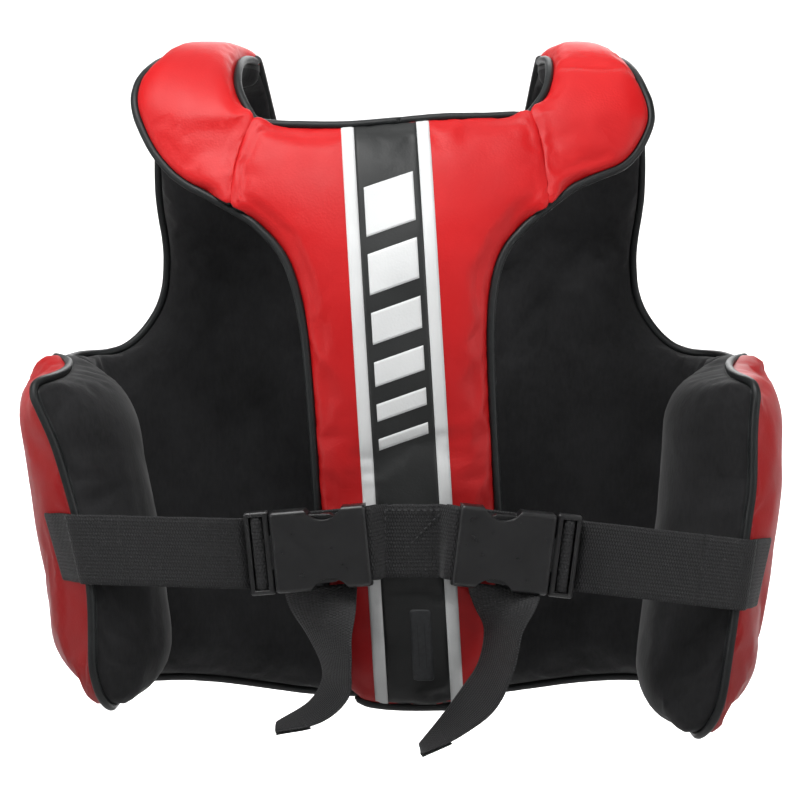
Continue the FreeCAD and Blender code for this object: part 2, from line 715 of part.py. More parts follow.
def make_buckles():
    shapes = {}
    for side in SIDES:
        shapes[f"buckle_{side}_socket"] = on_buckle(socket(), side)
        shapes[f"buckle_{side}_plug"] = on_buckle(plug(), side)
        upper = arm()
        shapes[f"buckle_{side}_arm_upper"] = on_buckle(upper, side)
        lower = upper.mirror(Vector(0, 0, 0), Vector(0, 0, 1))
        shapes[f"buckle_{side}_arm_lower"] = on_buckle(lower, side)
    return shapes


# --- webbing: each strap is one length, sewn on the wing, turned round the plug's bar, and left hanging ---
SLIT_U = (SOCKET_LENGTH + 6.45, SOCKET_LENGTH + 12.85)  # middles of the plug's two slits
RETURN_W = -9.9  # the webbing's plane behind the socket
RETURN_END_U = 2.0


def web_loft(sections, width=WEB_WIDTH):
    """Webbing through (centre, direction across it) sections."""
    wires = []
    last = len(sections) - 1
    for k, (centre, across) in enumerate(sections):
        ahead = sections[min(k + 1, last)][0] - sections[max(k - 1, 0)][0]
        edge = Vector(across).normalize() * (width / 2)
        normal = ahead.cross(across).normalize() * (WEB / 2)
        near, far = centre + edge, centre - edge
        corners = [near + normal, near - normal, far - normal, far + normal]
        wires.append(Part.makePolygon(corners + corners[:1]))
    return Part.makeLoft(wires, True, True)


def buckle_placement(side):
    """Placement of a right-hand buckle, before any mirroring and the shift to the middle of the back."""
    turn = Rotation(Vector(0, 0, 1), BUCKLE_YAW)
    tilt = Rotation(Vector(0, 1, 0), BUCKLE_TILT[side])
    pitch = Rotation(Vector(1, 0, 0), BUCKLE_PITCH)
    return Placement(Vector(SOCKET_START, SOCKET_Y, BUCKLE_Z), tilt.multiply(turn).multiply(pitch))


def at_buckle(side, u, v, w):
    """A point of the buckle, in the object's frame."""
    point = buckle_placement(side).multVec(Vector(u, -w, v))
    return Vector(SIDES[side] * point.x + BUCKLE_X, point.y, point.z)


def wing_face_x(z, y, lift):
    """X of a wing's outer face at height z and depth y, raised outwards."""
    first, middle, last = wing_side_points(z, -lift, False)
    circle = Part.Circle(first, middle, last)
    radius, centre = circle.Radius, circle.Center
    return centre.x + sqrt(radius**2 - (y - centre.y) ** 2)


def make_strap(side):
    """From the plug's inner slit over its bar, out along the back and round onto the wing's outer face."""
    sign = SIDES[side]
    inner, outer = SLIT_U
    loop = [(inner, 0.2), (inner + 0.45, 2.3), (inner + 1.75, 3.2), (outer - 1.75, 3.2), (outer - 0.45, 2.3)]
    loop += [(outer, 0), (outer, -3), (outer + 1.65, -5.6), (outer + 5.5, -6.2), (outer + 12, -6.4)]
    across = at_buckle(side, 0, 1, 0) - at_buckle(side, 0, 0, 0)
    sections = [(at_buckle(side, u, 0, w), across) for u, w in loop]
    leave = sections[-1][0]
    end_z = STRAP_END_Z[side]
    rear_x = flank_half(end_z) - WING_REAR_INSET
    run = [(rear_x - 16, WING_REAR_Y - 8.4), (rear_x - 3, WING_REAR_Y - 8.0)]
    run += [(rear_x + 3.6, WING_REAR_Y - 5.0)]
    lift = WEB / 2 + 0.6
    run += [(wing_face_x(end_z, WING_REAR_Y + d, lift), WING_REAR_Y + d) for d in (2, 10, 22, 36, 48)]
    for x, y in run:
        share = (x - abs(leave.x)) / (rear_x - abs(leave.x))
        z = leave.z + (end_z - leave.z) * min(1.0, share)
        sections.append((Vector(sign * x, y, z), Vector(sign * FLANK_SLOPE, 0, 1)))
    return web_loft(sections)


def make_return(side):
    """The same webbing beyond the plug's inner slit, lying behind the socket."""
    inner = SLIT_U[0]
    path = [(inner, -0.6), (inner, -3), (inner - 1.85, -5.8), (inner - 6.4, -9.0), (inner - 12.4, RETURN_W)]
    path += [(inner - 35, RETURN_W), (RETURN_END_U, RETURN_W)]
    across = at_buckle(side, 0, 1, 0) - at_buckle(side, 0, 0, 0)
    return web_loft([(at_buckle(side, u, 0, w), across) for u, w in path])


# hanging ends: centre x, y and z, then the direction across the webbing
TAILS = {
    "left": [
        ((-55, -126.5, -361.5), (1.0, 0.05, 0.09)),
        ((-54, -127.5, -372), (0.97, -0.22, 0.06)),
        ((-50, -130, -392), (0.80, -0.60, 0.02)),
        ((-45, -132, -414), (0.55, -0.83, 0.0)),
        ((-46, -132, -431), (0.40, -0.91, -0.10)),
        ((-60, -131, -446), (0.33, -0.90, -0.28)),
        ((-86, -130, -456), (0.20, -0.90, -0.40)),
    ],
    "right": [
        ((72, -129.5, -362.5), (1.0, 0.05, -0.11)),
        ((73, -132, -373), (0.85, -0.52, 0.0)),
        ((72, -136, -389), (0.52, -0.85, 0.0)),
        ((67, -138, -414), (0.47, -0.88, -0.06)),
        ((55, -138, -436), (0.42, -0.87, -0.26)),
        ((36, -137, -455), (0.27, -0.93, -0.28)),
        ((14, -136, -472), (0.22, -0.95, -0.26)),
    ],
}


def make_webbing():
    shapes = {"anchor_webbing": make_anchor()}
    for side in SIDES:
        shapes[f"strap_{side}"] = make_strap(side)
        shapes[f"strap_{side}_return"] = make_return(side)
        shapes[f"tail_{side}"] = web_loft([(Vector(*c), Vector(*a)) for c, a in TAILS[side]])
    return shapes


pads = make_vest()
for wing in SIDES:
    pads.update(make_wing(wing))
everything = dict(pads)
everything.update(make_bands())
everything.update(make_piping())
everything.update(make_buckles())
everything.update(make_webbing())
for node, shape in everything.items():
    export(node, shape)
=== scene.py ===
from math import asin, ceil, cos, exp, hypot, pi, radians, sin, sqrt

import bmesh
import bpy
from mathutils import Matrix, Vector, geometry, noise
from mathutils.bvhtree import BVHTree
from mathutils.kdtree import KDTree


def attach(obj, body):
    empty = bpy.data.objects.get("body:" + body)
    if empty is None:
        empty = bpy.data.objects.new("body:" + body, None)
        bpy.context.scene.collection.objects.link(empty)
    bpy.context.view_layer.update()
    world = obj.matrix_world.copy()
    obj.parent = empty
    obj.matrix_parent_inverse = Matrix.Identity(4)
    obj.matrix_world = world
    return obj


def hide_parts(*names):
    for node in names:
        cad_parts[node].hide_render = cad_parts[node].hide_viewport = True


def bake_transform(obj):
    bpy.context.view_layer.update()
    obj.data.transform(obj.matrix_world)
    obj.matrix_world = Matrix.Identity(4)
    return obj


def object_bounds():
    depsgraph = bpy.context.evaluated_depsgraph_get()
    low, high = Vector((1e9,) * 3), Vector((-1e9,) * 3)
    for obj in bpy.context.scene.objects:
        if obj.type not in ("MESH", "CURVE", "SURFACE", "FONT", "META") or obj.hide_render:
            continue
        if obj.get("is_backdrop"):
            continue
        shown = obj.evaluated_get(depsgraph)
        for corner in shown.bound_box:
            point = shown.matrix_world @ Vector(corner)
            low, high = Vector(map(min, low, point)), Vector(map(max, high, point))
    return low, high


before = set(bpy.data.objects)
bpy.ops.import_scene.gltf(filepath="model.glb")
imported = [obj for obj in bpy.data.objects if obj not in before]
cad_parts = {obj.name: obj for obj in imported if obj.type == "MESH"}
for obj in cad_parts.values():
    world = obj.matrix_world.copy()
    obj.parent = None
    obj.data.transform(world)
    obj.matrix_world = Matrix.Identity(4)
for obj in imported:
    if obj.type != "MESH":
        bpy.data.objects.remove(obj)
CAD_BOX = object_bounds()

# Every length below is in millimetres, in the frame's own axes, and becomes metres when a mesh is made.
MM = 0.001
BACK, FRONT = -1, 1
SIDES = {"left": -1, "right": 1}

# --- sizes of the padded shell, which the CAD model shares ---
SHOULDER_THICKNESS = 30.0
THICKNESS = {BACK: 22.0, FRONT: 50.0}
CREST_RADIUS = 110.0
CREST_Z = SHOULDER_THICKNESS - CREST_RADIUS
REACH = {BACK: 130.0, FRONT: 172.0}
CREST_ENDS = {BACK: radians(25), FRONT: radians(55)}
LOWER_RADIUS = 1500.0
NECK_FRONT_Z = -112.0
NECK_HALF = 97.0
BACK_HEM_Z = -442.0
BACK_NARROW = 61.0
LEAN_X, LEAN_SLOPE = -12.8, -0.06
BAND_HALF, STRIPE = 22.0, 9.0
BOW_RADIUS, CORNER_RADIUS = 480.0, 85.0
CREASE_Y = 45.0
FLANK_HALF, FLANK_Z, FLANK_SLOPE = 274.0, -230.0, 0.143
FRONT_HEM_Z, FRONT_HEM_SIDE_Z = -457.0, -441.0
WING_REAR_Y = -112.0
WING_TIP_Z = {"left": -444.0, "right": -464.0}
WING_FRONT_LOW_Z = -441.0
WING_THICKNESS, WING_EDGE, WING_REAR_INSET = 80.0, 9.0, 24.0
PIPING_RADIUS = 3.0
WEB_WIDTH, WEB = 50.0, 1.6
RIM = 5.0  # how thick a pad still is where it meets its piping
SEAM_RIM = 20.5  # and where it is sewn to the next pad


# --- camera, light and floor ---
def add_object(name, data):
    obj = bpy.data.objects.new(name, data)
    bpy.context.collection.objects.link(obj)
    return obj


def add_camera():
    """A long lens behind the protector at the height of its armholes."""
    data = bpy.data.cameras.new("camera")
    data.lens = 150.0
    data.sensor_width = 36.0
    camera = add_object("camera", data)
    camera.location = (0.0, -2.44, -0.23)
    camera.rotation_euler = (radians(90), 0.0, 0.0)
    bpy.context.scene.camera = camera


def add_area_light(name, place, aim, size, watts):
    data = bpy.data.lights.new(name, "AREA")
    data.shape = "RECTANGLE"
    data.size, data.size_y = size
    data.energy = watts
    light = add_object(name, data)
    light.location = place
    light.rotation_euler = (Vector(aim) - Vector(place)).to_track_quat("-Z", "Y").to_euler()


def add_floor():
    """A pale floor that turns up into a wall on every side, so that no view shows its edge."""
    rings = [(0.0, -1.3), (4.0, -1.3), (5.0, -1.2), (5.6, -0.9), (6.0, 0.0), (6.1, 4.0)]
    steps = 48
    verts = [(0.0, 0.0, rings[0][1])]
    for radius, z in rings[1:]:
        for k in range(steps):
            turn = 2 * pi * k / steps
            verts.append((radius * cos(turn), radius * sin(turn), z))
    faces = [(0, 1 + k, 1 + (k + 1) % steps) for k in range(steps)]
    for ring in range(len(rings) - 2):
        for k in range(steps):
            a, b = 1 + ring * steps + k, 1 + ring * steps + (k + 1) % steps
            faces.append((a, a + steps, b + steps, b))
    mesh = bpy.data.meshes.new("floor")
    mesh.from_pydata(verts, [], faces)
    mesh.shade_smooth()
    n = Nodes("floor")
    n.set(Base_Color=(0.93, 0.93, 0.93, 1), Roughness=1.0, Specular_IOR_Level=0.0)
    mesh.materials.append(n.material)
    add_object("floor", mesh)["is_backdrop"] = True


def add_light():
    """Soft light from above and from both sides; the sky is bright overhead and dim below."""
    world = bpy.data.worlds.new("studio")
    world.use_nodes = True
    tree = world.node_tree
    background = tree.nodes["Background"]
    background.inputs["Strength"].default_value = 0.19
    height = tree.nodes.new("ShaderNodeSeparateXYZ")
    blend = tree.nodes.new("ShaderNodeMapRange")
    for key, value in (("From Min", -0.5), ("From Max", 0.9), ("To Min", 0.2), ("To Max", 1.0)):
        blend.inputs[key].default_value = value
    tree.links.new(tree.nodes.new("ShaderNodeTexCoord").outputs["Generated"], height.inputs[0])
    tree.links.new(height.outputs["Z"], blend.inputs["Value"])
    tree.links.new(blend.outputs["Result"], background.inputs["Color"])
    bpy.context.scene.world = world
    bpy.context.scene.view_settings.view_transform = "Standard"
    add_area_light("key", (-0.3, -0.7, 0.76), (0.0, -0.1, -0.02), (0.9, 0.6), 15.5)
    add_area_light("fill", (1.5, -2.0, 0.5), (0.0, 0.0, -0.15), (1.2, 1.2), 6.0)
    for name, x in (("left_side", -1.9), ("right_side", 1.9)):
        add_area_light(name, (x, -0.9, 0.1), (0.0, 0.0, -0.3), (0.8, 0.8), 9.0)
    add_area_light("top", (0.0, 0.1, 1.7), (0.0, 0.0, 0.0), (1.4, 1.0), 5.0)
    add_area_light("far_side", (0.3, 2.0, 1.2), (0.0, 0.0, -0.2), (1.4, 1.4), 22.0)
    add_area_light("backdrop", (0.0, 4.0, -1.1), (0.0, 6.0, 0.0), (4.0, 0.8), 190.0)


# --- materials ---
class Nodes:
    """A short way to write a node material."""

    def __init__(self, name):
        self.material = bpy.data.materials.new(name)
        self.material.use_nodes = True
        self.tree = self.material.node_tree
        self.shader = self.tree.nodes["Principled BSDF"]

    def add(self, kind, settings=(), **inputs):
        node = self.tree.nodes.new(kind)
        for key, value in dict(settings).items():
            setattr(node, key, value)
        for key, value in inputs.items():
            self.give(node, key.replace("_", " "), value)
        return node

    def give(self, node, socket, value):
        target = node.inputs[socket]
        if isinstance(value, bpy.types.NodeSocket):
            self.tree.links.new(value, target)
        else:
            target.default_value = value

    def set(self, **inputs):
        for key, value in inputs.items():
            self.give(self.shader, key.replace("_", " "), value)

    def math(self, operation, a, b=0.0):
        node = self.add("ShaderNodeMath", {"operation": operation})
        self.give(node, 0, a)
        self.give(node, 1, b)
        return node.outputs[0]

    def noise(self, scale, detail=3.0, roughness=0.55, vector=None):
        node = self.add("ShaderNodeTexNoise", Scale=scale, Detail=detail, Roughness=roughness)
        self.give(node, "Vector", vector or self.place())
        return node.outputs["Fac"]

    def place(self):
        return self.add("ShaderNodeTexCoord").outputs["Object"]

    def stretched(self, vector, scale):
        node = self.add("ShaderNodeMapping", Vector=vector)
        node.inputs["Scale"].default_value = scale
        return node.outputs["Vector"]

    def scaled(self, value, low, high, to_low, to_high):
        node = self.add("ShaderNodeMapRange")
        self.give(node, "Value", value)
        for key, number in (("From Min", low), ("From Max", high), ("To Min", to_low), ("To Max", to_high)):
            self.give(node, key, number)
        return node.outputs["Result"]

    def mix(self, share, first, second):
        """One colour turning into another as share goes from 0 to 1."""
        node = self.add("ShaderNodeMix", {"data_type": "RGBA"})
        self.give(node, 0, share)
        for socket, colour in ((6, first), (7, second)):
            plain = not isinstance(colour, bpy.types.NodeSocket)
            self.give(node, socket, (*colour, 1) if plain else colour)
        return node.outputs[2]

    def between(self, value, low, high, dark, light):
        """A colour that runs from dark to light as the value runs from low to high."""
        return self.mix(self.scaled(value, low, high, 0.0, 1.0), dark, light)

    def bump(self, height, distance, strength=1.0, normal=None):
        node = self.add("ShaderNodeBump", Height=height, Distance=distance, Strength=strength)
        if normal is not None:
            self.give(node, "Normal", normal)
        return node.outputs["Normal"]


PAINTED_SHADE_LOW_Z, PAINTED_SHADE_HIGH_Z = -0.45, -0.12  # painted shade: the leather's colour is darkened between these heights, in metres, most at the lower one


def leather(name, dark, light, roughness=0.36, grain=0.00012, painted_shade_at_hem=0.42):
    """Smooth coated leather: a fine pebble grain, shallow creases, and painted shade that darkens its colour
    towards the hem, standing in for weaker light lower down.
    """
    n = Nodes(name)
    tone = n.noise(9.0, 4.0, 0.6)
    height = n.add("ShaderNodeSeparateXYZ", Vector=n.place()).outputs["Z"]
    # painted shade: the base colour is multiplied darker with height towards the hem, standing in for weaker
    # light low down
    shade = n.scaled(height, PAINTED_SHADE_LOW_Z, PAINTED_SHADE_HIGH_Z, painted_shade_at_hem, 1.0)
    n.set(Base_Color=n.mix(shade, (0, 0, 0), n.between(tone, 0.3, 0.7, dark, light)))
    pebble = n.add("ShaderNodeTexVoronoi", {"feature": "SMOOTH_F1"}, Scale=620.0, Smoothness=0.6)
    n.give(pebble, "Vector", n.place())
    folds = n.noise(38.0, 5.0, 0.62)
    fine = n.bump(pebble.outputs["Distance"], grain, 0.55)
    n.set(Normal=n.bump(folds, 0.0006, 0.35, fine))
    n.set(Roughness=n.scaled(n.noise(26.0, 3.0), 0.3, 0.7, roughness - 0.05, roughness + 0.08))
    n.set(Specular_IOR_Level=0.28)
    return n.material


def lining():
    """Brushed black tricot: a soft nap with slow clouds where the pile lies another way."""
    n = Nodes("lining")
    place = n.place()
    cloud = n.noise(16.0, 5.0, 0.65)
    nap = n.noise(420.0, 2.0, 0.6, n.stretched(place, (1.0, 1.0, 0.35)))
    mixed = n.math("ADD", n.math("MULTIPLY", cloud, 0.72), n.math("MULTIPLY", nap, 0.28))
    n.set(Base_Color=n.between(mixed, 0.34, 0.66, (0.0026, 0.0026, 0.003), (0.0145, 0.0145, 0.0155)))
    rough = n.bump(nap, 0.0003, 0.5)
    n.set(Normal=n.bump(n.noise(46.0, 4.0, 0.6), 0.0012, 0.45, rough))
    n.set(Roughness=0.86, Specular_IOR_Level=0.25, Sheen_Weight=0.12, Sheen_Roughness=0.45)
    return n.material


WEFT_PITCH, WARP_PITCH = 1.9, 2.6  # the webbing's yarns, in millimetres


def webbing():
    """Black polypropylene webbing: a plain weave of flat yarns, from a UV map in millimetres."""
    n = Nodes("webbing")
    uv = n.add("ShaderNodeUVMap", {"uv_map": "cloth"}).outputs["UV"]
    split = n.add("ShaderNodeSeparateXYZ", Vector=uv)
    along, across = split.outputs["X"], split.outputs["Y"]
    weft, warp = 2.0 * pi / WEFT_PITCH, 2.0 * pi / WARP_PITCH
    half = n.math("MULTIPLY", across, pi / WARP_PITCH)
    yarn_number = n.math("FLOOR", n.math("DIVIDE", half, pi))
    shifted = n.math("ADD", n.math("MULTIPLY", along, weft), n.math("MULTIPLY", yarn_number, pi))
    ribs = n.math("SINE", shifted)
    yarn = n.math("SINE", n.math("MULTIPLY", across, warp))
    height = n.math("ADD", n.math("MULTIPLY", ribs, 0.6), n.math("MULTIPLY", yarn, 0.4))
    fuzz = n.noise(900.0, 2.0, 0.6)
    tone = n.math("ADD", n.math("MULTIPLY", height, 0.32), n.math("MULTIPLY", fuzz, 0.7))
    n.set(Base_Color=n.between(tone, 0.0, 0.75, (0.0026, 0.0026, 0.003), (0.0125, 0.0125, 0.0138)))
    n.set(Normal=n.bump(n.math("ADD", height, n.math("MULTIPLY", fuzz, 0.5)), 0.00028, 0.9))
    n.set(Roughness=0.62, Specular_IOR_Level=0.4, Sheen_Weight=0.1, Sheen_Roughness=0.4)
    return n.material


def plastic():
    """Satin moulded acetal: fine spark-eroded texture and a faint flow variation."""
    n = Nodes("buckle_plastic")
    spark = n.noise(1500.0, 2.0, 0.7)
    n.set(Base_Color=n.between(n.noise(60.0), 0.3, 0.7, (0.006, 0.006, 0.0066), (0.0105, 0.0105, 0.0112)))
    soft_edges = n.add("ShaderNodeBevel", Radius=0.0016).outputs["Normal"]
    n.set(Normal=n.bump(spark, 0.00006, 0.5, soft_edges))
    n.set(Roughness=n.scaled(n.noise(140.0), 0.3, 0.7, 0.27, 0.37), Specular_IOR_Level=0.55)
    return n.material


def thread():
    """Twisted black sewing thread."""
    n = Nodes("thread")
    n.set(Base_Color=n.between(n.noise(1500.0, 2.0), 0.3, 0.7, (0.018, 0.018, 0.019), (0.045, 0.045, 0.048)))
    n.set(Normal=n.bump(n.noise(2500.0, 1.0), 0.0001, 0.5), Roughness=0.55)
    return n.material


def patch_rubber():
    """The small moulded patch on the band."""
    n = Nodes("badge")
    n.set(Base_Color=n.between(n.noise(300.0), 0.3, 0.7, (0.008, 0.009, 0.010), (0.017, 0.018, 0.020)))
    n.set(Normal=n.bump(n.noise(1200.0), 0.00006, 0.5), Roughness=0.5, Specular_IOR_Level=0.4)
    return n.material


def make_materials():
    reds = (0.47, 0.004, 0.006), (0.58, 0.008, 0.009)
    charcoals = (0.014, 0.015, 0.015), (0.031, 0.0325, 0.0325)
    whites = (0.64, 0.65, 0.65), (0.74, 0.75, 0.75)
    blacks = (0.008, 0.009, 0.0095), (0.017, 0.019, 0.0195)
    return {
        # the last number given to each leather is painted shade: how much of its colour is left at the hem
        "red": leather("red_leather", *reds, roughness=0.47),
        "charcoal": leather("charcoal_leather", *charcoals, roughness=0.44, painted_shade_at_hem=0.24),
        "white": leather("white_leather", *whites, roughness=0.5, painted_shade_at_hem=0.55),
        "piping": leather("black_piping", *blacks, roughness=0.43, painted_shade_at_hem=0.7),
        "lining": lining(),
        "webbing": webbing(),
        "plastic": plastic(),
        "thread": thread(),
        "badge": patch_rubber(),
    }


MATERIALS = make_materials()


# --- meshes ---
def add_mesh(name, verts, faces, materials, face_materials=None, uvs=None, closed=True):
    """A smooth mesh from points in millimetres; uvs has one pair for every corner of every face."""
    mesh = bpy.data.meshes.new(name)
    mesh.from_pydata([tuple(c * MM for c in v) for v in verts], [], faces)
    for material in materials:
        mesh.materials.append(MATERIALS[material])
    if face_materials:
        mesh.polygons.foreach_set("material_index", face_materials)
    if uvs:
        layer = mesh.uv_layers.new(name="cloth")
        layer.data.foreach_set("uv", [c for pair in uvs for c in pair])
    if closed:
        work = bmesh.new()
        work.from_mesh(mesh)
        bmesh.ops.recalc_face_normals(work, faces=work.faces)
        work.to_mesh(mesh)
        work.free()
    mesh.shade_smooth()
    return add_object(name, mesh)


def smoothstep(value, low, high):
    share = min(1.0, max(0.0, (value - low) / (high - low)))
    return share * share * (3 - 2 * share)


def smooth_path(points, step, closed=False):
    """Points about a step apart along a smooth curve through the given ones, in any number of dimensions."""
    points = [Vector(p) for p in points]
    count = len(points)
    found = []
    last = count if closed else count - 1
    for k in range(last):
        b, c = points[k], points[(k + 1) % count]
        a = points[k - 1] if closed or k else b + (b - c)
        d = points[(k + 2) % count] if closed or k + 2 < count else c + (c - b)
        pieces = max(1, ceil((c - b).length / step))
        for piece in range(pieces):
            t = piece / pieces
            spot = 2 * b + (c - a) * t + (2 * a - 5 * b + 4 * c - d) * t**2 + (3 * b - a - 3 * c + d) * t**3
            found.append(spot / 2)
    return found if closed else found + [points[-1]]


def even(points, step):
    """The same line, cut again into equal lengths."""
    lengths = [0.0]
    for a, b in zip(points, points[1:]):
        lengths.append(lengths[-1] + (b - a).length)
    pieces = max(2, round(lengths[-1] / step))
    found, k = [], 0
    for piece in range(pieces + 1):
        want = lengths[-1] * piece / pieces
        while k < len(points) - 2 and lengths[k + 1] < want:
            k += 1
        span = lengths[k + 1] - lengths[k]
        found.append(points[k].lerp(points[k + 1], min(1.0, (want - lengths[k]) / span) if span else 0.0))
    return found


# --- the shell's outer surfaces, in flat coordinates ---
def side_arcs(side, inset=0.0):
    """Radius of the panel's arc, its centre y and z, and the lower arc's centre y."""
    turn = CREST_ENDS[side]
    crest = CREST_RADIUS - inset
    reach = REACH[side] - inset
    panel = (reach - crest * cos(turn)) / (1 - cos(turn))
    centre_y = (crest - panel) * cos(turn)
    return panel, centre_y, CREST_Z + (crest - panel) * sin(turn), reach - LOWER_RADIUS


def side_point(side, s):
    """(y, z) on the outer face, a length s down from the shoulder's crest."""
    panel, centre_y, centre_z, lower_y = side_arcs(side)
    turn = CREST_ENDS[side]
    first, second = CREST_RADIUS * (pi / 2 - turn), panel * turn
    if s < first:
        angle = pi / 2 - s / CREST_RADIUS
        return side * CREST_RADIUS * cos(angle), CREST_Z + CREST_RADIUS * sin(angle)
    if s < first + second:
        angle = turn - (s - first) / panel
        return side * (centre_y + panel * cos(angle)), centre_z + panel * sin(angle)
    angle = -(s - first - second) / LOWER_RADIUS
    return side * (lower_y + LOWER_RADIUS * cos(angle)), centre_z + LOWER_RADIUS * sin(angle)


def length_at(side, z):
    """The length s at which the outer face reaches height z."""
    panel, _, centre_z, _ = side_arcs(side)
    turn = CREST_ENDS[side]
    first, second = CREST_RADIUS * (pi / 2 - turn), panel * turn
    if z > CREST_Z + CREST_RADIUS * sin(turn):
        return CREST_RADIUS * (pi / 2 - asin(min(1.0, (z - CREST_Z) / CREST_RADIUS)))
    if z > centre_z:
        return first + panel * (turn - asin((z - centre_z) / panel))
    return first + second + LOWER_RADIUS * asin((centre_z - z) / LOWER_RADIUS)


def lean(z):
    return LEAN_X + LEAN_SLOPE * z


def back_half(z):
    """Half of the back panel's width: it flares towards the shoulders and tapers to the hem."""
    flare = 38.0 * exp((z + 100.0) / 28.0)
    taper = 10.0 * max(0.0, (-296.0 - z) / 134.0) ** 2
    return BACK_NARROW + flare - taper


def back_surface(x, s):
    y, z = side_point(BACK, s)
    round_off = x * x / 2600.0 * smoothstep(s, 60, 160)
    return Vector((x, y + round_off, z))


def back_thickness(x, s):
    return SHOULDER_THICKNESS + (THICKNESS[BACK] - SHOULDER_THICKNESS) * smoothstep(s, 0, 130)


BOW_Y = REACH[FRONT] - BOW_RADIUS
CORNER_X = FLANK_HALF - CORNER_RADIUS
CORNER_Y = BOW_Y + sqrt((BOW_RADIUS - CORNER_RADIUS) ** 2 - CORNER_X**2)
BOW_TURN = asin(CORNER_X / (BOW_RADIUS - CORNER_RADIUS))
BOW_LENGTH = BOW_RADIUS * BOW_TURN
CREASE_TURN = pi / 2 - asin((CREASE_Y - CORNER_Y) / CORNER_RADIUS)
CREASE_LENGTH = BOW_LENGTH + CORNER_RADIUS * (CREASE_TURN - BOW_TURN)


def plan_point(a):
    """(x, y) of the front panel seen from above, a length a from its middle."""
    sign = -1 if a < 0 else 1
    if abs(a) < BOW_LENGTH:
        return BOW_RADIUS * sin(a / BOW_RADIUS), BOW_Y + BOW_RADIUS * cos(a / BOW_RADIUS)
    turn = BOW_TURN + (abs(a) - BOW_LENGTH) / CORNER_RADIUS
    return sign * (CORNER_X + CORNER_RADIUS * sin(turn)), CORNER_Y + CORNER_RADIUS * cos(turn)


def plan_length(x):
    """The length a at which the front panel reaches x on its bow."""
    return BOW_RADIUS * asin(x / BOW_RADIUS)


def flank_half(z):
    return FLANK_HALF + FLANK_SLOPE * (z - FLANK_Z)


def front_surface(a, s):
    x, plan_y = plan_point(a)
    side_y, z = side_point(FRONT, s)
    narrow = min(1.0, flank_half(z) / FLANK_HALF)
    shoulder_y = plan_y * side_y / REACH[FRONT]
    if z < CREST_Z:
        run = (plan_y - CREASE_Y) / (REACH[FRONT] - CREASE_Y)
        flank_y = CREASE_Y + run * (side_y - CREASE_Y)
        low = smoothstep(-z, 100, 190)
        shoulder_y += (flank_y - shoulder_y) * low
        x *= 1 + (narrow - 1) * low
    return Vector((x, shoulder_y, z))


def front_thickness(a, s):
    chest = smoothstep(s, 20, 190)
    return SHOULDER_THICKNESS + (THICKNESS[FRONT] - SHOULDER_THICKNESS) * chest


def off_surface(surface, thickness):
    """place(p, q, depth): a point of the pad, where depth 0 is its outer face and 1 its lining."""

    def place(p, q, depth):
        step = 2.0
        spot = surface(p, q)
        along_p = surface(p + step, q) - surface(p - step, q)
        along_q = surface(p, q + step) - surface(p, q - step)
        inwards = along_p.cross(along_q).normalized()
        centre = Vector((0, 0, CREST_Z - 60))
        if inwards.dot(centre - spot) < 0:
            inwards = -inwards
        return spot + inwards * (thickness(p, q) * depth)

    return place


def circle_through(a, b, c):
    """Centre and radius of the circle through three flat points."""
    ax, ay, bx, by, cx, cy = *a, *b, *c
    d = 2 * (ax * (by - cy) + bx * (cy - ay) + cx * (ay - by))
    sq = [x * x + y * y for x, y in (a, b, c)]
    ux = (sq[0] * (by - cy) + sq[1] * (cy - ay) + sq[2] * (ay - by)) / d
    uy = (sq[0] * (cx - bx) + sq[1] * (ax - cx) + sq[2] * (bx - ax)) / d
    return ux, uy, hypot(ax - ux, ay - uy)


def wing_face(z, y, inner):
    """X of the right wing's outer or inner face at height z and depth y."""
    half = flank_half(z)
    depths = (THICKNESS[FRONT], WING_THICKNESS, WING_EDGE) if inner else (0.0, 0.0, 0.0)
    first = (half - depths[0], CREASE_Y - 8.0)
    middle = (half - depths[1], -30.0)
    last = (half - WING_REAR_INSET - depths[2], WING_REAR_Y)
    cx, cy, radius = circle_through(first, middle, last)
    reach = sqrt(max(0.0, radius**2 - (y - cy) ** 2))
    return cx - reach if inner else cx + reach


REAR_SPLAY = {"left": 11.0, "right": 2.0}  # the top corner of each wing's rear edge turns outwards
REAR_PINCH = {"left": 12.0, "right": 0.0}  # the strap draws the left wing's rear edge in
WING_SPREAD = {"left": 0.0, "right": 8.0}  # the right wing stands out a little lower down
PINCH_Z, PINCH_SIZE = -350.0, 75.0
SPLAY_Z, SPLAY_SIZE = -212.0, 34.0


def wing_shift(side, y, z):
    """How far a wing stands outwards of its drawn place."""
    rear = ((CREASE_Y - y) / (CREASE_Y - WING_REAR_Y)) ** 2
    pinch = REAR_PINCH[side] * exp(-(((z - PINCH_Z) / PINCH_SIZE) ** 2)) * rear
    pinch -= REAR_SPLAY[side] * exp(-(((z - SPLAY_Z) / SPLAY_SIZE) ** 2)) * rear
    spread = WING_SPREAD[side] * smoothstep(-z, 225, 300) * smoothstep(CREASE_Y - y, 0, 90)
    return spread - pinch


def wing_place(side):
    """place(p, q, depth) for a wing: p runs back from the crease and q is the height."""
    sign = SIDES[side]

    def place(p, q, depth):
        y = CREASE_Y - p
        outer, inner = wing_face(q, y, False), wing_face(q, y, True)
        return Vector((sign * (outer + (inner - outer) * depth + wing_shift(side, y, q)), y, q))

    return place


def wing_thickness(p, q):
    y = CREASE_Y - p
    return wing_face(q, y, False) - wing_face(q, y, True)


# --- padded pieces ---
RING_DEPTHS = (1.2, 3.4, 6.2, 9.0, 11.8, 16.0, 21.0)


def signed_area(outline):
    return sum(a.x * b.y - b.x * a.y for a, b in zip(outline, outline[1:] + outline[:1])) / 2


def inward_normals(outline):
    normals = []
    for k in range(len(outline)):
        run = outline[(k + 1) % len(outline)] - outline[k - 1]
        normals.append(Vector((-run.y, run.x)).normalized())
    return normals


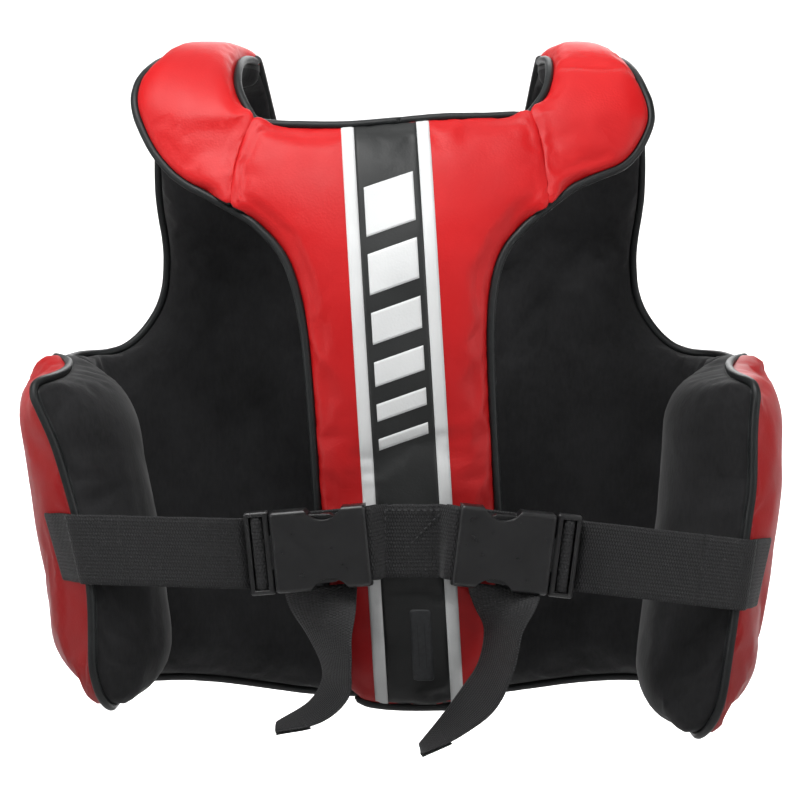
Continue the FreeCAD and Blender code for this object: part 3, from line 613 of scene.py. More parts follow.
class Edge:
    """Finds how far a flat point is inside an outline, and where along it."""

    def __init__(self, outline):
        self.samples = smooth_path(outline, 1.0, closed=True)
        self.normals = inward_normals(self.samples)
        self.tree = KDTree(len(self.samples))
        for k, spot in enumerate(self.samples):
            self.tree.insert((spot.x, spot.y, 0.0), k)
        self.tree.balance()

    def look(self, spot):
        """(distance inside, or negative outside; millimetres along the outline)"""
        _, k, distance = self.tree.find((spot.x, spot.y, 0.0))
        beside = (spot - self.samples[k]).dot(self.normals[k])
        return (distance if beside >= 0 else -distance), float(k)


def fill_outline(outline, spacing):
    """Flat triangles inside an outline: rings close to its edge and an even grid inside."""
    outline = [Vector(p[:2]) for p in outline]
    if signed_area(outline) < 0:
        outline.reverse()
    edge = Edge(outline)
    normals = inward_normals(outline)
    points = list(outline)
    for depth in RING_DEPTHS:
        for here, normal in zip(outline, normals):
            spot = here + normal * depth
            if edge.look(spot)[0] > 0.94 * depth:
                points.append(spot)
    low = Vector((min(p.x for p in outline), min(p.y for p in outline)))
    high = Vector((max(p.x for p in outline), max(p.y for p in outline)))
    rows = int((high.y - low.y) / (spacing * 0.87)) + 1
    columns = int((high.x - low.x) / spacing) + 2
    for row in range(rows):
        for column in range(columns):
            shift = 0.5 * (row % 2)
            spot = low + Vector(((column + shift) * spacing, row * spacing * 0.87))
            if edge.look(spot)[0] > RING_DEPTHS[-1] + 0.6 * spacing:
                points.append(spot)
    loop = list(range(len(outline)))
    flat, _, triangles, origins, _, _ = geometry.delaunay_2d_cdt(points, [], [loop], 1, 1e-4)
    at_rim = {}
    for k, sources in enumerate(origins):
        for source in sources:
            if source < len(outline):
                at_rim[source] = k
    rim = [at_rim[k] for k in loop]
    looks = [edge.look(p) for p in flat]
    on_rim = set(rim)
    depths = [0.0 if k in on_rim else max(0.6, look[0]) for k, look in enumerate(looks)]
    return flat, [tuple(t) for t in triangles], rim, depths, [look[1] for look in looks]


SEAM_FLAT, SEAM_FADE = 6.0, 7.0  # how far from a seam a rim is full, and how fast it thins after that
ROUNDNESS = 2.2
STITCH_IN, STITCH_WIDE, STITCH_DEEP = 9.0, 1.5, 0.9  # the sewn line inside a rim
GATHER_IN, GATHER_WIDE, GATHER_HIGH = 5.5, 5.0, 0.7  # the gathers beside it
OUTLINE_STEP, GRID = 4.5, 6.0
DOME_WIDTH, RUMPLE_SIZE, RUMPLE_HIGH = 22.0, 42.0, 1.6


def seam_fullness(seams):
    """How thick a pad still is at its rim: thin at the piping, fuller where two pads are sewn together."""
    spots = [spot for seam in seams for spot in smooth_path(seam, 6.0)]

    def at(p, q):
        nearest = min(((Vector((p, q)) - spot).length for spot in spots), default=999.0)
        return RIM + (SEAM_RIM - RIM) * exp(-((max(0.0, nearest - SEAM_FLAT) / SEAM_FADE) ** 2))

    return at


def swell(distance, width, rim_share):
    """How full a pad is at a distance from its rim: a rounded edge that levels out."""
    t = min(1.0, distance / width)
    return rim_share + (1 - rim_share) * (1 - (1 - t) ** ROUNDNESS) ** (1 / ROUNDNESS)


def stitched_edge(distance, along):
    """Height near a rim: a sewn line inside it, and the small gathers that the piping makes."""
    groove = -STITCH_DEEP * exp(-(((distance - STITCH_IN) / STITCH_WIDE) ** 2))
    gather = noise.noise(Vector((along / 9.0, 3.1, 0.0))) + 0.5 * noise.noise(Vector((along / 4.5, 7.7, 0.0)))
    return groove + GATHER_HIGH * gather * exp(-(((distance - GATHER_IN) / GATHER_WIDE) ** 2))


class Pad:
    """A padded piece: its mesh, and where its faces are.

    crown is how far its middle swells, and width how wide its rounded edge is."""

    def __init__(self, name, outline, place, thickness, crown, width, seed=0.0, relief=None, seams=()):
        self.place, self.thickness = place, thickness
        rim_at = seam_fullness(seams)
        outline = smooth_path(outline, OUTLINE_STEP, closed=True)
        flat, triangles, rim, depths, alongs = fill_outline(outline, GRID)
        count = len(flat)
        verts = []
        for face_side in (0, 1):
            for (p, q), distance, along in zip(flat, depths, alongs):
                thick = thickness(p, q)
                full = swell(distance, min(width, 0.62 * thick + 6), min(0.9, rim_at(p, q) / thick))
                dome = 1 - exp(-distance / DOME_WIDTH)
                if face_side == 0:
                    height = crown * dome + stitched_edge(distance, along)
                    height += relief(p, q) if relief else 0.0
                else:
                    height = 0.4 * crown * dome
                rumple = noise.noise(Vector((p / RUMPLE_SIZE, q / RUMPLE_SIZE, seed + face_side)))
                height += RUMPLE_HIGH * dome * rumple
                depth = 0.5 - (0.5 * full + height * dome / thick) * (1 if face_side == 0 else -1)
                verts.append(place(p, q, depth))
        faces = list(triangles) + [tuple(count + k for k in reversed(t)) for t in triangles]
        shades = [0] * len(triangles) + [1] * len(triangles)
        for k, here in enumerate(rim):
            following = rim[(k + 1) % len(rim)]
            faces.append((here, following, count + following, count + here))
            shades.append(2)
        self.obj = add_mesh(name, verts, faces, ("red", "lining", "piping"), shades)
        self.rim = rim
        self.pinned = rim + [count + k for k in rim]

    def tree(self):
        mesh = self.obj.data
        faces = [tuple(f.vertices) for f in mesh.polygons]
        return BVHTree.FromPolygons([v.co / MM for v in mesh.vertices], faces)


PIPING_OUT = 2.4  # the piping's centre, outwards from a pad's rim
PIPING_FORWARD = 2.6  # and towards the outer face, on the back panel and the shoulder pads


def edge_line(place, stretch, out, thickness=None, forward=0.0):
    """The rim's middle line along part of an outline, moved out to the right of its direction."""
    stretch = smooth_path(stretch, 5.0)
    points = []
    for k, spot in enumerate(stretch):
        run = stretch[min(k + 1, len(stretch) - 1)] - stretch[max(k - 1, 0)]
        aside = Vector((run.y, -run.x)).normalized() * out
        deep = thickness(spot.x, spot.y) if thickness else THICKNESS[BACK]
        points.append(place(spot.x + aside.x, spot.y + aside.y, 0.5 - forward / deep))
    return points


# --- cords and webbing ---
def between_rings(rings, around, base=0):
    """Faces between rings of points, each ring a given number of points around."""
    faces = []
    for ring in range(rings - 1):
        for j in range(around):
            low, high = base + ring * around, base + (ring + 1) * around
            after = (j + 1) % around
            faces.append((low + j, low + after, high + after, high + j))
    return faces


def tube(name, path, radius, material, step=3.0, closed=False, sides=10):
    """A round cord along a smooth line, with rounded ends."""
    rough = smooth_path(path, 2.0, closed=closed)
    line = even(rough + rough[:1] if closed else rough, step)
    count = len(line)
    tangents = [(line[min(k + 1, count - 1)] - line[max(k - 1, 0)]).normalized() for k in range(count)]
    if closed:
        tangents[0] = tangents[-1] = (line[1] - line[-2]).normalized()
    normal = tangents[0].orthogonal().normalized()
    frames = []
    for tangent in tangents:
        normal = (normal - tangent * normal.dot(tangent)).normalized()
        frames.append((normal.copy(), tangent.cross(normal)))
    verts = []
    for k, (spot, (a, b)) in enumerate(zip(line, frames)):
        near_end = min(k, count - 1 - k) * step
        thick = radius * (1.0 if closed else sqrt(min(1.0, (near_end + 0.4) / (radius + 0.4))))
        thick *= 1 + 0.03 * noise.noise(spot / 6.0)
        for j in range(sides):
            turn = 2 * pi * j / sides
            verts.append(spot + (a * cos(turn) + b * sin(turn)) * thick)
    faces = between_rings(count, sides)
    faces.append(tuple(reversed(range(sides))))
    faces.append(tuple(range((count - 1) * sides, count * sides)))
    return add_mesh(name, verts, faces, (material,))


LENGTHS = {}  # the length of every piece of webbing, in millimetres
ACROSS = (-1.0, -0.985, -0.94, -0.8, -0.55, -0.28, 0.0, 0.28, 0.55, 0.8, 0.94, 0.985, 1.0)


def ribbon(name, stations, width=WEB_WIDTH, thickness=WEB, cup=0.0, start=0.0):
    """Webbing through (centre, direction across) stations, with a UV map in millimetres."""
    rough = smooth_path([Vector((*c, *a)) for c, a in stations], 2.5)
    line = [(Vector(v[:3]), Vector(v[3:]).normalized()) for v in rough]
    lengths = [start]
    for (a, _), (b, _) in zip(line, line[1:]):
        lengths.append(lengths[-1] + (b - a).length)
    verts, coords = [], []
    for k, (centre, across) in enumerate(line):
        run = line[min(k + 1, len(line) - 1)][0] - line[max(k - 1, 0)][0]
        normal = run.cross(across).normalized()
        edge_wave = 0.25 * noise.noise(Vector((lengths[k] / 14.0, 1.7, 0.0)))
        for face_side in (1, -1):
            for share in ACROSS:
                half = thickness / 2 * (1 - 0.75 * max(0.0, abs(share) - 0.94) / 0.06)
                lift = cup * (share * share - 0.4) + face_side * half
                verts.append(centre + across * (share * (width / 2 + edge_wave)) + normal * lift)
                coords.append((lengths[k], share * width / 2))
    per = 2 * len(ACROSS)
    ring = list(range(len(ACROSS))) + list(range(per - 1, len(ACROSS) - 1, -1))
    faces = []
    for k in range(len(line) - 1):
        for j in range(per):
            a, b = ring[j], ring[(j + 1) % per]
            faces.append((k * per + a, k * per + b, (k + 1) * per + b, (k + 1) * per + a))
    for base in (0, (len(line) - 1) * per):
        for j in range(len(ACROSS) - 1):
            other = len(ACROSS) + j
            faces.append((base + j, base + j + 1, base + other + 1, base + other))
    mesh_uv = [coords[v] for f in faces for v in f]
    LENGTHS[name] = lengths[-1] - start
    return add_mesh(name, verts, faces, ("webbing",), uvs=mesh_uv)


def stitches(name, lines, material="thread", length=2.6, pitch=3.6, radius=0.42):
    """Short rounded stitches along smooth lines of (point, outward normal)."""
    verts, faces = [], []
    for line in lines:
        rough = smooth_path([Vector((*p, *n)) for p, n in line], 0.9)
        walked, following = 0.0, 0.0
        for a, b in zip(rough, rough[1:]):
            walked += (Vector(b[:3]) - Vector(a[:3])).length
            if walked < following:
                continue
            following = walked + pitch
            middle, run = Vector(b[:3]), (Vector(b[:3]) - Vector(a[:3])).normalized()
            out = Vector(b[3:]).normalized()
            side = run.cross(out).normalized()
            base = len(verts)
            for t, share in ((-0.5, 0.35), (-0.34, 0.95), (0.0, 1.0), (0.34, 0.95), (0.5, 0.35)):
                sink = 0.5 * radius * (2 * t) ** 2
                for j in range(6):
                    turn = 2 * pi * j / 6
                    around = (side * cos(turn) + out * sin(turn) * 0.8) * radius * share
                    verts.append(middle + run * (t * length) - out * sink + around)
            faces += between_rings(5, 6, base)
            faces.append(tuple(base + j for j in reversed(range(6))))
            faces.append(tuple(base + 24 + j for j in range(6)))
    return add_mesh(name, verts, faces, (material,))


BESIDE_RIM = 0.42  # a strip that runs past a pad's rim carries on at this depth
EDGE_LIFT = 0.35  # the share of its lift that a strip keeps at its own edge


def strip_faces(wide, deep):
    """Faces of a thin closed strip: a grid of top points, then the same grid of low ones."""
    count = wide * deep
    faces = []
    for r in range(deep - 1):
        for c in range(wide - 1):
            a = r * wide + c
            faces.append((a, a + 1, a + wide + 1, a + wide))
            faces.append((count + a, count + a + wide, count + a + wide + 1, count + a + 1))
    border = list(range(wide)) + [r * wide + wide - 1 for r in range(1, deep)]
    border += [(deep - 1) * wide + c for c in range(wide - 2, -1, -1)]
    border += [r * wide for r in range(deep - 2, 0, -1)]
    for a, b in zip(border, border[1:] + border[:1]):
        faces.append((a, b, count + b, count + a))
    return faces


def on_face(tree, pad, p, q):
    """A point of a pad's outer face, and the direction into the pad there."""
    outside = pad.place(p, q, -1.0)
    aim = (pad.place(p, q, 1.0) - outside).normalized()
    return tree.ray_cast(outside, aim)[0] or pad.place(p, q, BESIDE_RIM), aim


def lay_strip(name, pad, material, columns, rows, lift=0.9, thickness=1.8, slant=0.0):
    """A thin strip that lies on a pad's outer face; columns(q) gives its points across at q.

    slant tilts its first row, as the back panel's top edge is tilted."""
    tree = pad.tree()
    tops, lows = [], []
    for q in rows:
        across = columns(q)
        for k, p in enumerate(across):
            down = q - slant * (p - BAND_TOP_X) * exp(-(q - rows[0]) / 12.0)
            hit, aim = on_face(tree, pad, p, down)
            at_edge = k in (0, len(across) - 1) or q in (rows[0], rows[-1])
            tops.append(hit - aim * (lift * (EDGE_LIFT if at_edge else 1.0)))
            lows.append(hit + aim * (thickness - lift))
    return add_mesh(name, tops + lows, strip_faces(len(columns(rows[0])), len(rows)), (material,))


# --- outlines of the pads, in flat coordinates ---
def flat_points(points):
    return [Vector(p) for p in points]


def on_back(points):
    return [Vector((x, length_at(BACK, z))) for x, z in points]


def on_front(points):
    return [Vector((plan_length(x), length_at(FRONT, z))) for x, z in points]


SEAM = {
    "left": [(-103, -31), (-111, -49), (-115.5, -66), (-118.5, -92)],
    "right": [(92, -26), (97, -40), (100.5, -58), (104, -92)],
}
SIDE_Z = (-92, -100, -118, -140, -180, -250, -320, -380, -425)
YOKE_EDGE = {
    "left": [(-118.5, -92), (-136, -82), (-152, -73), (-166, -60), (-178, -42), (-186, -19)],
    "right": [(104, -92), (118, -79), (135, -70), (158, -60), (171, -43), (176, -25)],
}
YOKE_EDGE_TOP = {
    "left": [(-184, 80), (-175, 50), (-166, 15), (-160, -22)],
    "right": [(170, 85), (162, 50), (153, 15), (150, -22)],
}
YOKE_NECK = {"left": [(-103, -31), (-112, -17), (-118, 2)], "right": [(92, -26), (102, -13), (108, 3)]}
YOKE_NECK_TOP = {"left": [(-117, 40), (-112, 8), (-106, -22)], "right": [(110, 40), (107, 8), (104, -22)]}
ARMHOLE = [(187, -60), (184, -115), (192, -158), (221, -192)]


def back_edge(side):
    sign = SIDES[side]
    return on_back([(lean(z) + sign * back_half(z), z) for z in SIDE_Z[1:]])


def back_parts():
    left_x, right_x = (lean(BACK_HEM_Z) + sign * back_half(BACK_HEM_Z) for sign in (-1, 1))
    hem = [(left_x + 5, -438), (left_x + 14, -442.5), (5, -445), (right_x - 14, -444), (right_x - 5, -440)]
    top = on_back([(-84, -34.5), (-40, -35), (0, -31.5), (30, -28.5), (60, -28), (80, -27)])
    return top, on_back(hem)


def back_outline():
    top, hem = back_parts()
    outline = on_back(SEAM["left"])[::-1] + top + on_back(SEAM["right"])
    outline += back_edge("right") + hem[::-1] + back_edge("left")[::-1]
    return outline


def yoke_neck(side):
    return on_back(YOKE_NECK[side]) + flat_points(YOKE_NECK_TOP[side])


def yoke_outline(side):
    edge = on_back(YOKE_EDGE[side]) + flat_points(YOKE_EDGE_TOP[side])
    return edge + yoke_neck(side)[::-1] + on_back(SEAM[side])[1:-1]


def neck_u(side):
    """Half of the front neckline, from the shoulder down to its middle."""
    sign = SIDES[side]
    turns = [radians(a) for a in (90, 75, 58, 40, 20, 0)]
    depth = -18.0 - NECK_FRONT_Z
    return on_front([(sign * NECK_HALF * sin(a), -18.0 - depth * cos(a)) for a in turns])


def front_armhole(side):
    sign = SIDES[side]
    edge = on_front([(sign * x, z) for x, z in ARMHOLE])
    for a, z in ((CREASE_LENGTH - 42, -198), (CREASE_LENGTH, -202)):
        edge.append(Vector((sign * a, length_at(FRONT, z))))
    return edge


def front_hem():
    """The hem dips in the middle and rises towards the flanks."""
    points = []
    for k in range(-8, 9):
        a = CREASE_LENGTH * k / 8
        rise = smoothstep(abs(a), 40, 215)
        z = FRONT_HEM_Z + (FRONT_HEM_SIDE_Z - FRONT_HEM_Z) * rise
        points.append(Vector((a, length_at(FRONT, z))))
    return points


def shoulder_end(side):
    """The front pad's end at the yoke, 22 mm in front of the crest."""
    inner, outer = YOKE_NECK_TOP[side][-1][0], YOKE_EDGE_TOP[side][-1][0]
    return [Vector((plan_length(x), 22.0)) for x in (inner, (inner + outer) / 2, outer)]


def front_shoulder(sign):
    """A point of the armhole's edge just below the shoulder."""
    return Vector((sign * plan_length(178), 70.0))


def front_outline():
    outline = front_armhole("right")[::-1] + [front_shoulder(1)] + shoulder_end("right")[::-1]
    outline += neck_u("right") + neck_u("left")[-2::-1]
    outline += shoulder_end("left") + [front_shoulder(-1)] + front_armhole("left")
    flank = [Vector((-CREASE_LENGTH, length_at(FRONT, z))) for z in (-260, -320, -390)]
    outline += flank + front_hem() + [Vector((-p.x, p.y)) for p in reversed(flank)]
    return outline


def wing_parts(side):
    tip = WING_TIP_Z[side]
    deep = CREASE_Y - WING_REAR_Y
    top = [(0, -200), (50, -205), (100, -212), (deep - 14, -218)]
    rear = [(deep - 3, -222), (deep, -232), (deep, -280), (deep, -350), (deep, -405)]
    rear += [(deep - 1, tip + 24), (deep - 8, tip + 8)]
    low = [(deep - 24, tip), (110, tip + 2), (62, tip + 8), (25, -444), (0, WING_FRONT_LOW_Z)]
    return flat_points(top), flat_points(rear), flat_points(low)


def wing_outline(side):
    top, rear, low = wing_parts(side)
    return top + rear + low + flat_points([(0, -390), (0, -320), (0, -260)])


# --- pads ---
def crest_seam(p, q):
    """A shallow sewn line across the right shoulder pad."""
    off_line = q - 70.0 - 0.08 * (p - 135)
    return -2.6 * exp(-((off_line / 5.0) ** 2))


def finish(piece, body, slot, *nodes):
    """Rides a piece on its body and hides the CAD nodes that it stands for; the material slot it is given is
    not used.
    """
    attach(piece, body)
    if nodes:
        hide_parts(*nodes)


FLAT_EDGE, FRONT_EDGE, WING_EDGE_WIDTH = 17.0, 34.0, 44.0  # how far in from its rim each pad is still rounded


def make_pads():
    back_place = off_surface(back_surface, back_thickness)
    front_place = off_surface(front_surface, front_thickness)
    seams = {side: on_back(SEAM[side]) for side in SIDES}
    pads = {}
    pads["back"] = Pad(
        "back_panel", back_outline(), back_place, back_thickness, 2.0, FLAT_EDGE, seams=seams.values()
    )
    for side, sign in SIDES.items():
        relief = crest_seam if side == "right" else None
        name, outline = f"shoulder_{side}", yoke_outline(side)
        pads[name] = Pad(
            name, outline, back_place, back_thickness, 2.5, FLAT_EDGE, 5.0 + sign, relief, [seams[side]]
        )
        name, outline = f"wing_{side}", wing_outline(side)
        pads[name] = Pad(name, outline, wing_place(side), wing_thickness, 1.0, WING_EDGE_WIDTH, 9.0 + sign)
    pads["front"] = Pad("front_panel", front_outline(), front_place, front_thickness, 1.0, FRONT_EDGE, 20.0)
    for key, pad in pads.items():
        taut = key == "back" or key.startswith("shoulder")
        settle(pad, growth=0.017 if taut else 0.035, cap=2.8 if taut else 4.0)
    for key, pad in pads.items():
        body = key if key.startswith("wing") else "vest"
        finish(pad.obj, body, "red_leather", *(f"{key}_{layer}" for layer in ("cover", "foam", "lining")))
    return pads


# --- cloth ---
CLOTH_FRAMES = 20
HOLD = 0.02  # how firmly the pad away from its rim is held to its shape
PRESSURE = 4.0


def settle(pad, growth, cap):
    """Cuts a pad large, fills it with air and holds its rim, so that it folds as cloth does."""
    obj = pad.obj
    before = [v.co.copy() for v in obj.data.vertices]
    loose = obj.vertex_groups.new(name="sewn")
    loose.add(range(len(before)), HOLD, "REPLACE")
    loose.add(pad.pinned, 1.0, "REPLACE")
    cloth = obj.modifiers.new("cloth", "CLOTH")
    settings = cloth.settings
    settings.quality = 6
    settings.mass = 0.25
    settings.tension_stiffness = settings.compression_stiffness = 22.0
    settings.shear_stiffness = 8.0
    settings.bending_stiffness = 0.6
    settings.use_pressure = True
    settings.uniform_pressure_force = PRESSURE
    settings.vertex_group_mass = "sewn"
    settings.pin_stiffness = 1.0
    settings.shrink_min = settings.shrink_max = -growth
    settings.effector_weights.gravity = 0.0
    cloth.collision_settings.use_collision = False
    cloth.point_cache.frame_start, cloth.point_cache.frame_end = 1, CLOTH_FRAMES
    for step in range(1, CLOTH_FRAMES + 1):
        bpy.context.scene.frame_set(step)
    shaped = obj.evaluated_get(bpy.context.evaluated_depsgraph_get()).data
    after = [v.co.copy() for v in shaped.vertices]
    obj.modifiers.remove(cloth)
    obj.vertex_groups.clear()
    for vertex, old, new in zip(obj.data.vertices, before, after):
        move = new - old
        room = cap * MM
        if move.length > 1e-7:
            move *= room * (1 - exp(-move.length / room)) / move.length
        vertex.co = old + move
    obj.data.update()
    bpy.context.scene.frame_set(1)


# --- bands ---
def band_columns(low, high, count):
    """Points across a strip that follows the panel's leaning centre line."""

    def columns(q):
        z = side_point(BACK, q)[1]
        return [lean(z) + low + (high - low) * k / (count - 1) for k in range(count)]

    return columns


BAND_TOP_X = -11.0  # the middle of the band's top end
TOP_SLANT = 0.094  # how far the neck edge is off level
BAND_TOP_Z, BAND_LOW_Z, STRIPE_LOW_Z = -32.6, -446.4, -445.4


def spread(low, high, count):
    return [low + (high - low) * k / (count - 1) for k in range(count)]


def steps_between(low, high, step):
    return spread(low, high, max(2, round((high - low) / step)) + 1)


BAND_LIFT, STRIPE_LIFT = 0.9, 1.2


def make_bands(pads):
    """The charcoal band and its two white stripes, on the back and on the front."""
    back, front = pads["back"], pads["front"]
    edge = BAND_HALF + STRIPE
    top = length_at(BACK, BAND_TOP_Z)
    band_rows = steps_between(top, length_at(BACK, BAND_LOW_Z), 2.0)
    stripe_rows = steps_between(top, length_at(BACK, STRIPE_LOW_Z), 2.0)
    front_rows = steps_between(length_at(FRONT, NECK_FRONT_Z - 0.6), length_at(FRONT, FRONT_HEM_Z + 0.6), 4.0)
    strips = (
        ("band", "charcoal", -BAND_HALF, BAND_HALF, (25, 12), band_rows, BAND_LIFT),
        ("stripe_left", "white", -edge, -BAND_HALF, (6, 6), stripe_rows, STRIPE_LIFT),
        ("stripe_right", "white", BAND_HALF, edge, (6, 6), stripe_rows, STRIPE_LIFT),
    )
    for face, pad in (("back", back), ("front", front)):
        for part, material, low, high, counts, back_rows, lift in strips:
            level = spread(low, high, counts[1])
            columns = band_columns(low, high, counts[0]) if pad is back else lambda q: level
            rows, slant = (back_rows, TOP_SLANT) if pad is back else (front_rows, 0.0)
            name = "centre_band" if part == "band" else part
            piece = lay_strip(f"{face}_{name}", pad, material, columns, rows, lift, slant=slant)
            finish(piece, "vest", f"{material}_leather", f"{face}_{part}")
    make_marks(back)
    make_badge(back)


MARK_TOP_Z = -78.0
MARK_HEIGHTS = (34.0, 28.0, 22.0, 17.0, 12.0, 8.0)
MARK_GAP, MARK_SLANT, MARK_HALF = 12.0, 12.0, 17.0
MARK_TOP, MARK_UNDER = 1.35, 0.5  # how far a mark's two faces stand off the pad
MARK_POINTS = 19


def make_marks(back):
    """Plain slanted bars, each thinner than the last, printed on the back band."""
    top = MARK_TOP_Z
    for number, height in enumerate(MARK_HEIGHTS):
        low = top - height
        first, last = length_at(BACK, top), length_at(BACK, low)

        def columns(q, half=MARK_HALF):
            z = side_point(BACK, q)[1]
            return [lean(z) + half * (2 * k / (MARK_POINTS - 1) - 1) for k in range(MARK_POINTS)]

        rows = steps_between(first, last, 2.0)
        piece = slanted_patch(f"band_mark_{number}", back, columns, rows)
        finish(piece, "vest", "white_leather")
        top = low - MARK_GAP


def slanted_patch(name, pad, columns, rows):
    """A thin white bar that climbs to the right by MARK_SLANT."""
    tree = pad.tree()
    tops, lows = [], []
    wide = len(columns(rows[0]))
    for q in rows:
        for k, p in enumerate(columns(q)):
            climb = q - MARK_SLANT * (k / (wide - 1) - 0.5)
            hit, aim = on_face(tree, pad, p, climb)
            tops.append(hit - aim * MARK_TOP)
            lows.append(hit - aim * MARK_UNDER)
    return add_mesh(name, tops + lows, strip_faces(wide, len(rows)), ("white",))


BADGE_TOP_Z, BADGE_LOW_Z = -375.0, -426.0
BADGE_LEFT, BADGE_RIGHT, BADGE_CORNER = -4.0, 12.0, 3.0


def make_badge(back):
    """A small moulded patch with rounded corners; two plain raised lines stand in for its printing."""
    first, last = length_at(BACK, BADGE_TOP_Z), length_at(BACK, BADGE_LOW_Z)

    def columns(q):
        z = side_point(BACK, q)[1]
        into = BADGE_CORNER - min(BADGE_CORNER, q - first, last - q)
        inset = BADGE_CORNER - sqrt(max(0.0, BADGE_CORNER**2 - into**2))
        low, high = lean(z) + BADGE_LEFT + inset, lean(z) + BADGE_RIGHT - inset
        return spread(low, high, 10)

    patch = lay_strip("band_badge", back, "badge", columns, steps_between(first, last, 1.0), lift=1.6)
    finish(patch, "vest", "badge_rubber", "back_badge")
    rows = steps_between(first + 8.0, last - 8.0, 2.5)
    for number, left in enumerate((1.0, 6.0)):
        line_columns = band_columns(left, left + 1.0, count=3)
        mark = lay_strip(f"badge_line_{number}", back, "piping", line_columns, rows, lift=2.1, thickness=1.2)
        finish(mark, "vest", "badge_rubber")


# --- piping ---
CORD_GAP = 5.0


def make_piping(pads):
    back, front = pads["back"].place, pads["front"].place
    top, hem = back_parts()
    for side, sign in SIDES.items():
        yoke, wing = pads[f"shoulder_{side}"].place, pads[f"wing_{side}"].place
        up = edge_line(back, back_edge(side)[::-1], -sign * PIPING_OUT, forward=PIPING_FORWARD)
        shoulder = on_back(YOKE_EDGE[side][1:]) + flat_points(YOKE_EDGE_TOP[side])
        round_arm = edge_line(yoke, shoulder, -sign * PIPING_OUT, forward=PIPING_FORWARD)
        arm_edge = [front_shoulder(sign), *front_armhole(side)]
        down = edge_line(front, arm_edge, sign * PIPING_OUT, front_thickness)
        path = even(up, 14.0) + even(round_arm, 14.0) + even(down, 14.0)
        finish_piping(f"armhole_cord_{side}", path, f"armhole_piping_{side}")
        top_edge, rear, low = wing_parts(side)
        path = even(edge_line(wing, top_edge + rear + low, -PIPING_OUT, wing_thickness), 9.0)
        finish_piping(f"wing_cord_{side}", path, f"wing_piping_{side}", f"wing_{side}")
    back_hem = edge_line(back, hem, -PIPING_OUT, forward=PIPING_FORWARD)
    finish_piping("back_hem_cord", even(back_hem, 9.0), "back_hem_piping")
    hem_line = edge_line(front, front_hem(), -PIPING_OUT, front_thickness)
    finish_piping("front_hem_cord", even(hem_line, 12.0), "front_hem_piping")
    right, left = pads["shoulder_right"].place, pads["shoulder_left"].place
    around = [
        edge_line(back, top[2:], PIPING_OUT, forward=PIPING_FORWARD),
        edge_line(right, yoke_neck("right"), PIPING_OUT, forward=PIPING_FORWARD),
        edge_line(front, neck_u("right")[:-1] + neck_u("left")[::-1], -PIPING_OUT, front_thickness),
        edge_line(left, yoke_neck("left")[::-1], PIPING_OUT, forward=PIPING_FORWARD),
        edge_line(back, top[:3], PIPING_OUT, forward=PIPING_FORWARD),
    ]
    neck = [spot for stretch in around for spot in even(stretch, 12.0)]
    finish_piping("neck_cord", neck, "neck_piping", closed=True)


def finish_piping(name, path, node, body="vest", closed=False):
    """A cord through those points of a path that are not too close together."""
    spaced = [path[0]]
    for spot in path[1:]:
        beside = [spaced[-1]] + ([path[0]] if closed else [])
        if all((spot - other).length > CORD_GAP for other in beside):
            spaced.append(spot)
    piece = tube(name, spaced, PIPING_RADIUS, "piping", closed=closed)
    finish(piece, body, "black_piping", node)


# --- buckles and webbing ---
BUCKLE_X, BUCKLE_Z = 8.6, -330.0
SOCKET_START, SOCKET_Y = 36.0, -139.0
BUCKLE_PITCH, BUCKLE_YAW = 6.0, 6.0
BUCKLE_TILT = {"left": 5.0, "right": 6.5}
STRAP_END_Z = {"left": -334.0, "right": -352.0}
SLIT_INNER, SLIT_OUTER = 67.45, 73.85
RETURN_W, RETURN_END_U = -9.9, 2.0


def at_buckle(side, u, v, w):
    """A point of a buckle: u along the strap, v across it and w away from the back."""
    turn = Matrix.Rotation(radians(BUCKLE_TILT[side]), 3, "Y")
    turn = turn @ Matrix.Rotation(radians(BUCKLE_YAW), 3, "Z")
    turn = turn @ Matrix.Rotation(radians(BUCKLE_PITCH), 3, "X")
    point = Vector((SOCKET_START, SOCKET_Y, BUCKLE_Z)) + turn @ Vector((u, -w, v))
    return Vector((SIDES[side] * point.x + BUCKLE_X, point.y, point.z))


def buckle_across(side):
    return (at_buckle(side, 0, 1, 0) - at_buckle(side, 0, 0, 0)).normalized()


def wing_surface(tree, side, y, z):
    """The outer face of a wing at depth y and height z."""
    sign = SIDES[side]
    return tree.ray_cast(Vector((sign * 400.0, y, z)), Vector((-sign, 0, 0)))[0]


JOIN_SHARE = 0.9  # the strap's two pieces meet this far along its free run, clear of a pulled-out plug


